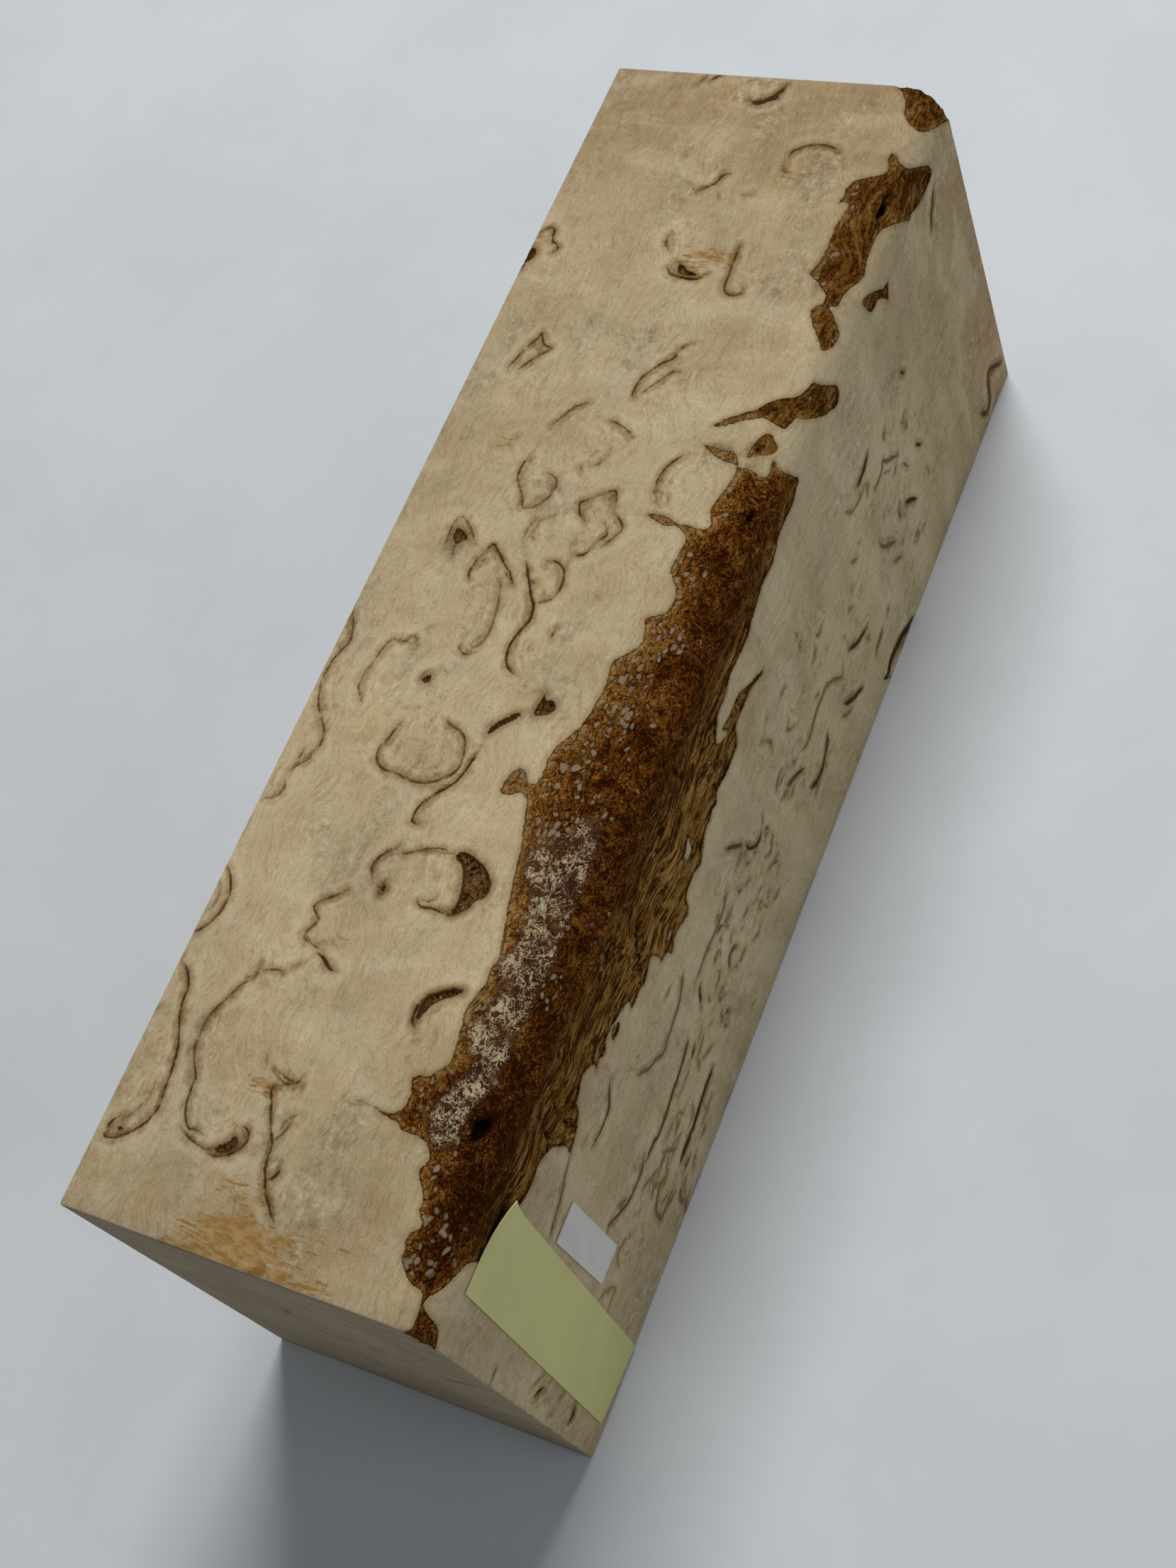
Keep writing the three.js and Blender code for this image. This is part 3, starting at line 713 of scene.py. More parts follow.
# The bark along the wane, on the sheet that unrolls the top, the wane and the front.
# The second number is the height above the corner's line: positive on the top, negative on the front.
BARK = (
    Patch((
        (-57.8, 0.7), (-57.6, 1.7), (-57.2, 2.6), (-56.6, 3.2), (-56.1, 3.7), (-55.2, 3.8), (-54.6, 4.0),
        (-54.1, 3.9), (-53.6, 3.4), (-53.1, 3.25), (-52.7, 3.6), (-52, 4.0), (-51.3, 4.05), (-50.5, 4.5),
        (-49.5, 5.3), (-48.5, 4.9), (-47.8, 5.1), (-47.2, 5.7), (-46.9, 6.8), (-46.9, 8.0), (-46.4, 8.8),
        (-46.05, 10.8), (-45.85, 9.5), (-45.5, 9.0), (-45, 8.7), (-44.2, 8.6), (-43.4, 8.8),
        (-42.8, 9.05), (-42.4, 8.7), (-42.2, 7.8), (-41.5, 7.2), (-40.9, 6.7), (-40.2, 6.55), (-38, 6.85),
        (-36.3, 7.15), (-35, 6.85), (-33.8, 6.5), (-32.7, 6.55), (-31.5, 6.35), (-30.3, 6.55),
        (-27.8, 7.25), (-24.5, 8.0), (-21.5, 8.6), (-20.5, 9.0), (-18.3, 9.6), (-17.7, 10.0),
        (-17.3, 10.5), (-17.7, 11.4), (-17.8, 12.1), (-17.5, 12.45), (-16.7, 12.4), (-15.6, 12.0),
        (-15.2, 11.5), (-15.6, 10.8), (-16.3, 10.4), (-16.3, 9.8), (-16, 9.5), (-15, 9.45), (-13.5, 9.5),
        (-12.6, 9.3), (-11, 8.3), (-10, 7.85), (-7, 7.4), (-6, 7.4), (-4.1, 7.65), (-3.4, 7.2),
        (-2.7, 6.5), (-2, 5.95), (-1.3, 5.8), (0.2, 6.3), (0.7, 6.55), (1, 5.9), (1.5, 5), (2.3, 4.6),
        (3.2, 4.6), (4, 4.85), (4.8, 5.5), (6, 6.1), (8.3, 5.85), (9.1, 6.0), (9.7, 6.6), (10.05, 7.4),
        (9.9, 8.3), (10.4, 9.8), (10.8, 10.2), (10.95, 9.2), (10.7, 8.1), (10.3, 7.2), (10.3, 6.2),
        (10.15, 5.0), (10.4, 4.25), (11, 4.3), (11.8, 4.65), (12.5, 4.8), (14.2, 4.4), (16.3, 4.0),
        (17.1, 4.5), (17.2, 5.4), (17.6, 6.4), (18.1, 7.3), (18.5, 7.85), (18.6, 7.1), (18.4, 6),
        (18.4, 5.1), (17.9, 4.5), (16.8, 3.9), (16.9, 3.1), (16.5, 1.7), (16.6, 0.9), (17.2, 0.6),
        (18, 0.9), (18.4, 0.6), (17.9, -0.4), (17.6, -1.5), (17.5, -2.6), (16.6, -2.8), (15.3, -3.3),
        (13.2, -3.2), (12, -3.2), (10.5, -4), (9.4, -4.3), (7.7, -4), (5, -4.6), (2.5, -5.3), (0, -5.1),
        (-1.3, -5), (-2.7, -5.7), (-4.5, -5.8), (-5.2, -6.3), (-6.3, -7.4), (-6.4, -7.8), (-6, -8.4),
        (-4.6, -9), (-4.9, -8.3), (-5, -7.6), (-3.5, -8), (-1.8, -7.9), (-1, -8.2), (0.3, -9.2),
        (2.3, -10.4), (2.8, -10.8), (2.4, -11), (0.6, -10.1), (-1.5, -9.95), (-3.3, -10.1), (-3.8, -10.9),
        (-4.3, -11.8), (-5.2, -12), (-7.3, -12), (-8.9, -11.6), (-9.5, -12.1), (-10, -12.5),
        (-10.6, -12.1), (-11.3, -12.5), (-12.5, -12.5), (-13.6, -13.3), (-15, -14.2), (-16.2, -13.7),
        (-17.9, -13.9), (-18.4, -14.4), (-18.6, -15.2), (-19, -15.7), (-19.7, -15.6), (-21, -15),
        (-21.9, -15.1), (-22.6, -15.8), (-23, -15.6), (-23.2, -14.8), (-24.3, -14.3), (-24.3, -13.4),
        (-24.8, -12.1), (-25.3, -12.1), (-26.8, -12.8), (-27.9, -12.4), (-29.1, -12.5), (-29.6, -12.1),
        (-29.3, -11.4), (-30.2, -10.7), (-32.5, -10), (-33.5, -10.1), (-34.2, -10.8), (-35, -10.3),
        (-35.9, -10.5), (-35.7, -9.6), (-36.7, -8.6), (-37.4, -8.5), (-38.5, -9.1), (-39.2, -9.3),
        (-39.4, -10.1), (-39.9, -10.8), (-40.6, -11.3), (-42.2, -12), (-42.7, -11.7), (-42.5, -10.7),
        (-43.1, -9.2), (-43.4, -8.4), (-44.6, -7.5), (-45.3, -7.2), (-46.8, -7.45), (-48.6, -7),
        (-51.5, -5.6), (-53.9, -4.6), (-54.8, -2.8), (-55.3, -2.1), (-57, -1.1), (-58.2, 0.1),
        (-58.8, -0.3), (-59.3, -1.0), (-59.9, -1.9), (-60.5, -2.4), (-61.5, -2.8), (-61.5, 0.1),
        (-60.3, 0.2), (-59.2, 0.25), (-58.3, 0.45))),
    Patch((
        (-32.9, -11.1), (-32.6, -10.6), (-32.2, -10.3), (-31.3, -10.9), (-31.7, -11.5), (-32.6, -11.5))),
    Patch((
        (18, 3.6), (19.3, 3.5), (20.2, 3.1), (20.7, 2.6), (20.6, 2.0), (20.2, 1.6), (19.9, 1.0),
        (19.4, 0.9), (18.9, 1.3), (18.5, 2.1), (18.2, 2.9))),
    Patch((
        (20.6, 7.8), (21.3, 7.4), (22.1, 6.2), (22.8, 5), (23.3, 4.2), (23.9, 3.7), (24.4, 2.8),
        (24.9, 1.7), (25.4, 1), (26.3, 0.4), (27.2, 0), (27.3, -1), (27.6, -2.5), (27.2, -3.6),
        (26.3, -3.8), (25.2, -3), (24.2, -2.3), (23.6, -1.3), (23.4, -0.4), (23.2, 0.3), (22.2, 0.7),
        (21.7, 1.1), (21.8, 2.3), (22.2, 3.6), (21.95, 4.5), (21.5, 5.6), (20.95, 6.7))),
    Patch((
        (30.6, 0.6), (31.0, 1.1), (31.8, 2.0), (32.7, 2.8), (33.7, 3.35), (34.4, 3.4), (34.9, 3.0),
        (35.0, 2.3), (34.5, 1.3), (33.8, 0.3), (33.1, -0.5), (32.2, -0.7), (31.1, -0.3))),
    Patch((
        (35, 2.5), (36, 2.7), (36.7, 3.4), (37.5, 4.2), (38.2, 5.1), (39, 4.8), (41, 4.5), (43.5, 4.6),
        (45.2, 4.3), (46.5, 4.2), (46.5, 5.3), (47.3, 5.05), (48.2, 5.1), (49, 4.8), (49.5, 4.1),
        (49.9, 3.1), (50.4, 2.2), (51.2, 1.7), (52.1, 2.2), (52.9, 2.1), (52.9, 1.4), (52.4, 0.8),
        (52.3, -0.4), (52.5, -1.2), (53.1, -2.2), (53.1, -2.9), (52.8, -3.5), (51.3, -3.6), (49.4, -3.4),
        (47.8, -2.8), (46.9, -2.8), (46.2, -2.0), (45.6, -1.2), (45, -0.6), (44, -0.2), (42.5, -0.2),
        (41, -0.3), (39.6, -0.6), (38.6, -0.3), (37.7, 0.3), (36.6, 0.8), (35.3, 1.0))),
    Patch((
        (61.5, 4.1), (60, 3.6), (59, 3.0), (57.6, 2.5), (56.8, 1.6), (56.6, 0.6), (56.7, -0.4),
        (57, -1.0), (58.3, -2.1), (59.3, -2.6), (61.5, -3.2))),
    Patch((
        (36.1, -2.0), (36.8, -1.4), (37.6, -1.7), (38.4, -2.4), (39.3, -3.3), (40.4, -3.7), (40.1, -4.4),
        (39.6, -5.4), (39.3, -4.8), (38.6, -3.8), (37.9, -3.3), (36.8, -3.2), (36.2, -2.8))),
)

# Islands of pale wood left inside the bark, on the same sheet.
PALE_ISLANDS = (
    Patch((
        (-16.1, -10.6), (-15.6, -10.3), (-14.6, -9.7), (-14.8, -10.5), (-15, -11.2), (-15.6, -11.3),
        (-16.1, -11))),
    Patch(((-22.7, -14.1), (-22.2, -13.7), (-21.6, -13.5), (-21.5, -13.8), (-22, -14.1))),
)

# Bark that shows where the wane runs out through the two ends, as (y, z).
NEAR_END_BARK = (Patch((
    (-15.9, 42.4), (-15.7, 41.2), (-16, 40.2), (-16.3, 39.2), (-16.7, 38.6), (-17.4, 38.4),
    (-17.4, 42.4))),)
FAR_END_BARK = (Patch((
    (-12.9, 42.4), (-13.2, 41.2), (-14.2, 40.4), (-15.2, 39.6), (-16.2, 38.4), (-17.4, 38.2),
    (-17.4, 42.4))),)

# Cracks in the bark, on the unrolled sheet, painted near-black as the shade inside them.
CRACKS = (
    Curl(0.4, 0.9, ((-28.2, -6), (-27.9, -4.7), (-27.5, -3.5))),
    Curl(0.45, 0.9, (
        (-26.8, -11.5), (-25.5, -10), (-24.6, -8.5), (-23.5, -7.4), (-21.8, -7.1), (-20, -7))),
    Curl(0.4, 0.9, ((-22.5, -14), (-21.3, -13.8), (-20.3, -14))),
    Curl(0.4, 0.9, ((-14, -13.4), (-13.3, -12))),
    Curl(0.4, 0.8, ((-12, -11.3), (-10.5, -11))),
    Curl(0.45, 0.9, ((-8.5, -10.5), (-7.2, -9.7))),
    Curl(0.35, 0.8, ((-11.8, -2.2), (-11.5, -4.5))),
    Curl(0.7, 0.9, ((-16.7, -4.6), (-16.3, -4.4))),
    Curl(0.35, 0.8, ((-2.3, -8.9), (-0.8, -9.2))),
    Curl(1.5, 1.0, ((-45.6, 2.2), (-44.8, 1.7), (-44.3, 1.0))),
    Curl(0.7, 1.0, ((12.2, 0.7), (12.9, 0.4))),
    Curl(0.4, 0.9, ((-7.5, 1.3), (-7.2, 1.1))),
    Curl(0.7, 1.0, ((46.2, 0.5), (47.2, 0.1), (47.9, 0.4))),
    Curl(0.45, 0.9, ((23.1, 3.7), (23.6, 2.9))),
    Curl(0.5, 0.8, ((19.0, 3.1), (19.5, 2.7))),
    Curl(0.35, 0.8, ((-42.6, -6.2), (-42.8, -7.8), (-42.2, -9))),
    Curl(0.35, 0.8, ((-42.2, -11), (-41, -10), (-40.6, -8.6))),
)

# Cream sanding dust lodged in the flat of the bark, on the unrolled sheet: outline, then its thick spots.
DUST = (
    Patch((
        (-47.2, 4.4), (-46.4, 5.8), (-45, 6.2), (-43.5, 6), (-41.5, 5), (-40, 4.8), (-38.3, 6.2),
        (-36.5, 6), (-34.5, 5), (-32, 6), (-30.5, 5.2), (-28, 5.5), (-25.5, 5.8), (-24, 7), (-22.3, 7.9),
        (-21.8, 7), (-20, 5), (-18, 3.5), (-19, 2.5), (-24, 2), (-30, 1.9), (-36, 2), (-41, 2.5),
        (-44, 3.4), (-46, 3.6))),
)
DUST_HEAPS = (
    (-44.3, 5.3), (-42.4, 4.5), (-41.8, 3.7), (-38, 5), (-34.8, 4.5), (-31.6, 5.5), (-30.5, 2.5),
    (-27.8, 4), (-26, 5), (-23.8, 6.2), (-23.2, 4.5))

# Crowds of pale stone cells in the bark, on the unrolled sheet: the middle, then the reach.
CELL_CLUSTERS = (
    (-56, 2, 2.4), (-54.4, 0.6, 1.6), (-52.5, 2.2, 1.6), (-33.2, 0.6, 1.6), (-31.9, 0.9, 1.2),
    (-27.7, 1.6, 0.8), (-9, 4.7, 1.6), (-5, 5, 1.8), (-1, 3.2, 1.5), (-14, 7.5, 1.6), (-20, 7.2, 1.4),
    (5, 4.5, 1.3))

# Ochre stain on the top face, as (x, y).
OCHRE = (
    Patch((
        (-61.5, 6.6), (-60.6, 6), (-59.9, 5.4), (-59.2, 4.5), (-58.5, 5.8), (-58, 3.5), (-57.5, 2.5),
        (-57, 1.8), (-56.7, 0), (-57.4, -0.9), (-57.5, -3), (-57.1, -4.7), (-57.9, -4.6), (-58.9, -3),
        (-59.5, -3.2), (-60.2, -4.8), (-60.4, -8), (-61.5, -8.2))),
    Patch(((-58.3, -5.4), (-57.5, -7), (-57.4, -9), (-58.3, -7))),
    Patch(((-55.9, 3.2), (-55.3, 2.6), (-55, 1), (-55.2, -0.5), (-55.7, 0.6))),
    Patch(((-46.9, 5.5), (-46.5, 4.4), (-46.3, 3), (-46.8, 2.7), (-47.2, 3.8))),
    Patch(((38, 1.5), (38.8, 1), (39.4, -1.2), (39.5, -3.4), (39.1, -4.5), (38.6, -2.8), (38.2, -0.6))),
    Patch(((48.4, -4.9), (49.2, -5.4), (49.4, -6.8), (48.9, -7.1), (48.6, -6))),
    Patch(((15.2, 11.2), (15.9, 10.8), (15.7, 9.8), (15.2, 10.1))),
)


class Chart(Enum):
    """The flat sheets that the figure is drawn on."""

    WRAP = "top, wane and front"
    BACK = "back"
    BASE = "underside"
    NEAR_END = "near end"
    FAR_END = "far end"


FAR = 9.0  # a distance at which a mark no longer shows
STEP = 0.12  # spacing of the points that a drawn line is turned into
TOUCH = 1e-6  # a distance that counts as none


def smooth_run(points: tuple[Point, ...], closed: bool) -> np.ndarray:
    """Turns drawn points into a smooth, closely spaced run.

    Args:
        points: the drawn points.
        closed: whether the run returns to its first point.

    Returns:
        The run, one row for each point.
    """
    drawn = np.array(points, dtype=float)
    if closed:
        padded = np.vstack([drawn[-1:], drawn, drawn[:2]])
    else:
        padded = np.vstack([2 * drawn[:1] - drawn[1:2], drawn, 2 * drawn[-1:] - drawn[-2:-1]])
    pieces = []
    for before, start, end, after in zip(padded, padded[1:], padded[2:], padded[3:]):
        count = max(2, math.ceil(np.linalg.norm(end - start) / STEP))
        t = np.linspace(0.0, 1.0, count, endpoint=False)[:, None]
        bend = 2 * before - 5 * start + 4 * end - after
        swing = 3 * start - before - 3 * end + after
        pieces.append(start + 0.5 * t * (end - before + t * (bend + t * swing)))
    if not closed:
        pieces.append(drawn[-1:])
    return np.vstack(pieces)


def ease(values: np.ndarray, start: float, end: float) -> np.ndarray:
    """0 at start and 1 at end, smooth between them, either way round."""
    t = np.clip((values - start) / (end - start), 0.0, 1.0)
    return t * t * (3 - 2 * t)


class NearestPoint:
    """Finds the nearest of many points on a chart."""

    def __init__(self, points: np.ndarray) -> None:
        """Sorts the points into a tree.

        Args:
            points: chart places, one row each.
        """
        self.tree = kdtree.KDTree(len(points))
        for index, (u, v) in enumerate(points):
            self.tree.insert((u, v, 0.0), index)
        self.tree.balance()

    def read(self, places: np.ndarray) -> tuple[np.ndarray, np.ndarray]:
        """The nearest point to each place.

        Args:
            places: chart places, one row each.

        Returns:
            The number of the nearest point and how far away it is.
        """
        found = [self.tree.find((u, v, 0.0)) for u, v in places]
        index = np.array([item[1] for item in found], dtype=int)
        distance = np.array([item[2] for item in found], dtype=float)
        return index, distance


class CurlField:
    """How far places on a chart are from its dark lines."""

    TAPER = 0.9  # length over which a line's ends run out
    CURL_SPAN = 2.0  # length either way over which a line's bend is read
    CURL_SAG = 0.5  # bend that counts as a full curl
    TIP_WIDTH = 0.4  # share of a line's width that is left at its tips
    TIP_TONE = 0.7  # share of its darkness that is left there

    def __init__(self, curls: tuple[Curl, ...]) -> None:
        """Draws every line as a run of points with its half width and darkness.

        Args:
            curls: the lines.
        """
        runs, halves, tones, hollows = [], [], [], []
        for curl in curls:
            run = smooth_run(curl.points, closed=False)
            along = np.linspace(0.0, len(run) * STEP, len(run))
            swell = np.clip(np.minimum(along, along[-1] - along) / self.TAPER, 0.0, 1.0)
            runs.append(run)
            halves.append(curl.width / 2 * (self.TIP_WIDTH + (1 - self.TIP_WIDTH) * swell))
            tones.append(curl.tone * (self.TIP_TONE + (1 - self.TIP_TONE) * swell))
            hollows.append(self._hollow(run))
        self.points = np.vstack(runs)
        self.half = np.concatenate(halves)
        self.tone = np.concatenate(tones)
        self.hollow = np.vstack(hollows)
        self.nearest = NearestPoint(self.points)

    def _hollow(self, run: np.ndarray) -> np.ndarray:
        """Points from each place on a line towards the side that it curls round.

        Args:
            run: the line's points.

        Returns:
            A vector for each point, of length 1 on a tight curl and near 0 on a straight line.
        """
        reach = max(1, min(round(self.CURL_SPAN / STEP), (len(run) - 1) // 2))
        padded = np.pad(run, ((reach, reach), (0, 0)), mode="edge")
        towards = padded[:len(run)] + padded[2 * reach:] - 2 * run
        towards[:reach] = towards[reach]
        towards[-reach:] = towards[-reach - 1]
        length = np.linalg.norm(towards, axis=1, keepdims=True)
        return towards / np.maximum(length, self.CURL_SAG)

    def read(self, places: np.ndarray) -> tuple[np.ndarray, np.ndarray]:
        """What the nearest line is like at each place.

        Args:
            places: chart places, one row each.

        Returns:
            The gap to the line's edge and the line's darkness.
        """
        index, distance = self.nearest.read(places)
        return np.minimum(distance - self.half[index], FAR), self.tone[index]

    def inner(self, places: np.ndarray) -> np.ndarray:
        """How far places lie on the inner side of the nearest line.

        Args:
            places: chart places, one row each.

        Returns:
            From -1 outside a tight curl to 1 inside it.
        """
        index, distance = self.nearest.read(places)
        away = (places - self.points[index]) / np.maximum(distance, TOUCH)[:, None]
        return np.sum(away * self.hollow[index], axis=1)


class PatchField:
    """How deep places on a chart lie inside its filled shapes."""

    def __init__(self, patches: tuple[Patch, ...]) -> None:
        """Draws every outline as a run of points."""
        self.outlines = [smooth_run(patch.points, closed=True) for patch in patches]
        self.nearest = NearestPoint(np.vstack(self.outlines))

    def read(self, places: np.ndarray) -> np.ndarray:
        """Depth inside a shape, negative outside.

        Args:
            places: chart places, one row each.

        Returns:
            One depth for each place.
        """
        _, distance = self.nearest.read(places)
        inside = np.zeros(len(places), dtype=bool)
        for outline in self.outlines:
            low, high = outline.min(axis=0), outline.max(axis=0)
            near = np.flatnonzero(np.all((places > low) & (places < high), axis=1))
            inside[near] ^= self._crossings(outline, places[near])
        return np.where(inside, np.minimum(distance, FAR), -np.minimum(distance, FAR))

    @staticmethod
    def _crossings(outline: np.ndarray, places: np.ndarray) -> np.ndarray:
        """Whether a ray from each place crosses the outline an odd number of times.

        Args:
            outline: the outline's points.
            places: chart places, one row each.

        Returns:
            True for each place inside.
        """
        odd = np.zeros(len(places), dtype=bool)
        u, v = places[:, 0], places[:, 1]
        for (u0, v0), (u1, v1) in zip(outline, np.roll(outline, -1, axis=0)):
            if v0 != v1:
                span = (v0 > v) != (v1 > v)
                odd ^= span & (u < u0 + (v - v0) * (u1 - u0) / (v1 - v0))
        return odd


class Mark(Enum):
    """The figure's fields, as they are stored on the block's points."""

    CURL_GAP = "curl_gap"
    CURL_TONE = "curl_tone"
    CURL_INNER = "curl_inner"
    POCKET = "pocket_depth"
    BARK = "bark_depth"
    CRACK = "crack_gap"
    CELLS = "stone_cells"
    DUST = "dust"
    OCHRE = "ochre_depth"


class MasurFigure:
    """Everything that is drawn on the block, chart by chart."""

    CURL_CELL = 0.13  # finest mesh cell beside a thin line
    EDGE_CELL = 0.17  # finest mesh cell on an outline
    BARK_CELL = 0.36  # mesh cell inside the bark
    SPREAD = 0.85  # how fast cells grow away from a mark
    TOP_SWELL = 0.85  # width of the top's lines, against how they are drawn
    FRONT_SWELL = 1.2  # width of the front's lines, against how they are drawn
    DUST_EDGE = (-1.1, 0.4)  # depths between which the dust thickens
    DUST_FILM = 0.66  # how thick the dust lies away from its heaps
    DUST_HEAP = 0.15  # how much thicker it lies on them
    HEAP = 1.5  # size of a heap

    def __init__(self, block: "BirchBlock") -> None:
        """Lays out the drawn and the chance marks on the block's charts.

        Args:
            block: the block whose faces carry the figure.
        """
        self.block = block
        half_x, half_y = block.length / 2, block.width / 2
        top, front = half_y, -block.height
        crowds = [curl for crowd in FRONT_CROWDS for curl in crowd.draw()]
        wrap = [curl.lifted(top, self.TOP_SWELL) for curl in TOP_CURLS]
        wrap += [curl.lifted(front, self.FRONT_SWELL).settled() for curl in FRONT_CURLS]
        wrap += [curl.lifted(front, self.FRONT_SWELL) for curl in crowds]
        back = StrayCurls(44, (-half_x, 0.5), (half_x, block.height - 0.5), seed=11)
        base = StrayCurls(34, (-half_x, -half_y), (half_x, half_y), seed=23)
        far_end = StrayCurls(14, (-half_y, 1.0), (half_y, block.height - 1.0), seed=37, longest=4.0,
                             darkest=0.5)
        self.curls = {
            Chart.WRAP: CurlField(tuple(wrap)),
            Chart.BACK: CurlField(back.draw()),
            Chart.BASE: CurlField(base.draw()),
            Chart.NEAR_END: CurlField(NEAR_END_CURLS),
            Chart.FAR_END: CurlField(far_end.draw()),
        }
        self.bark = {
            Chart.WRAP: PatchField(tuple(patch.settled() for patch in BARK + PALE_ISLANDS)),
            Chart.NEAR_END: PatchField(NEAR_END_BARK),
            Chart.FAR_END: PatchField(FAR_END_BARK),
        }
        self.pockets = PatchField(tuple(patch.lifted(top) for patch in TOP_POCKETS))
        self.ochre = PatchField(tuple(patch.lifted(top) for patch in OCHRE))
        self.cracks = CurlField(tuple(crack.settled() for crack in CRACKS))
        self.dust = PatchField(DUST)

    def marks(self, places: np.ndarray) -> dict[Mark, np.ndarray]:
        """Reads every field.

        Args:
            places: places on the block, one row each.

        Returns:
            One array for each field.
        """
        count = len(places)
        fields = {
            Mark.CURL_GAP: np.full(count, FAR),
            Mark.CURL_TONE: np.zeros(count),
            Mark.CURL_INNER: np.zeros(count),
            Mark.CELLS: np.zeros(count),
            Mark.POCKET: np.full(count, -FAR),
            Mark.BARK: np.full(count, -FAR),
            Mark.CRACK: np.full(count, FAR),
            Mark.DUST: np.zeros(count),
            Mark.OCHRE: np.full(count, -FAR),
        }
        for chart in Chart:
            rows, flat = self.block.flatten(chart, places)
            gap, tone = self.curls[chart].read(flat)
            closer = gap < fields[Mark.CURL_GAP][rows]
            inner = self.curls[chart].inner(flat)
            fields[Mark.CURL_TONE][rows] = np.where(closer, tone, fields[Mark.CURL_TONE][rows])
            fields[Mark.CURL_INNER][rows] = np.where(closer, inner, fields[Mark.CURL_INNER][rows])
            fields[Mark.CURL_GAP][rows] = np.minimum(fields[Mark.CURL_GAP][rows], gap)
            if chart in self.bark:
                depth = self.bark[chart].read(flat)
                fields[Mark.BARK][rows] = np.maximum(fields[Mark.BARK][rows], depth)
            if chart is Chart.WRAP:
                fields[Mark.POCKET][rows] = self.pockets.read(flat)
                fields[Mark.OCHRE][rows] = self.ochre.read(flat)
                fields[Mark.CRACK][rows] = self.cracks.read(flat)[0]
                fields[Mark.DUST][rows] = self._dust(flat)
                fields[Mark.CELLS][rows] = self._cells(flat)
        return fields

    def _dust(self, flat: np.ndarray) -> np.ndarray:
        """How thick the dust lies.

        Args:
            flat: chart places, one row each.

        Returns:
            From 0 to 1 for each place.
        """
        heaps = np.array(DUST_HEAPS)
        distance = np.linalg.norm(flat[:, None, :] - heaps[None, :, :], axis=2).min(axis=1)
        thickness = self.DUST_FILM + self.DUST_HEAP * np.exp(-(distance / self.HEAP) ** 2)
        return ease(self.dust.read(flat), *self.DUST_EDGE) * thickness

    @staticmethod
    def _cells(flat: np.ndarray) -> np.ndarray:
        """How crowded the pale stone cells are.

        Args:
            flat: chart places, one row each.

        Returns:
            From 0 to 1 for each place.
        """
        crowd = np.zeros(len(flat))
        for x, height, reach in CELL_CLUSTERS:
            distance = np.hypot(flat[:, 0] - x, flat[:, 1] - height)
            crowd = np.maximum(crowd, ease(distance, 1.3 * reach, 0.5 * reach))
        return crowd

    def cell(self, places: np.ndarray) -> np.ndarray:
        """The mesh cell that the marks need.

        Args:
            places: places on the block, one row each.

        Returns:
            A cell size for each place.
        """
        wanted = np.full(len(places), FAR)
        for chart in Chart:
            rows, flat = self.block.flatten(chart, places)
            gap = self.curls[chart].read(flat)[0]
            fine = self.CURL_CELL if chart is Chart.WRAP else 2 * self.CURL_CELL
            cell = fine + self.SPREAD * np.maximum(gap, 0.0)
            if chart in self.bark:
                depth = self.bark[chart].read(flat)
                cell = np.minimum(cell, self.EDGE_CELL + self.SPREAD * np.abs(depth))
                cell = np.where(depth > 0, np.minimum(cell, self.BARK_CELL), cell)
            if chart is Chart.WRAP:
                cell = np.minimum(cell, self.EDGE_CELL + self.SPREAD * np.abs(self.pockets.read(flat)))
            wanted[rows] = np.minimum(wanted[rows], cell)
        return wanted


def deselect() -> None:
    """Leaves nothing selected, the CAD nodes included."""
    bpy.ops.object.select_all(action="DESELECT")


def read_points(mesh: bpy.types.Mesh) -> np.ndarray:
    """Reads a mesh's points.

    Args:
        mesh: the mesh.

    Returns:
        Its points in millimetres, one row each.
    """
    flat = np.empty(3 * len(mesh.vertices))
    mesh.vertices.foreach_get("co", flat)
    return flat.reshape(-1, 3) / MM


def write_points(mesh: bpy.types.Mesh, places: np.ndarray) -> None:
    """Puts the mesh's points at places in millimetres."""
    mesh.vertices.foreach_set("co", (places * MM).ravel())
    mesh.update()


def declare(piece: bpy.types.Object, node: str) -> None:
    """Ties a finished piece to the frame.

    Args:
        piece: the piece.
        node: the CAD node that it stands for.
    """
    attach(piece, "root")
    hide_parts(node)
    log.info("%s: %d faces", piece.name, len(piece.data.polygons))


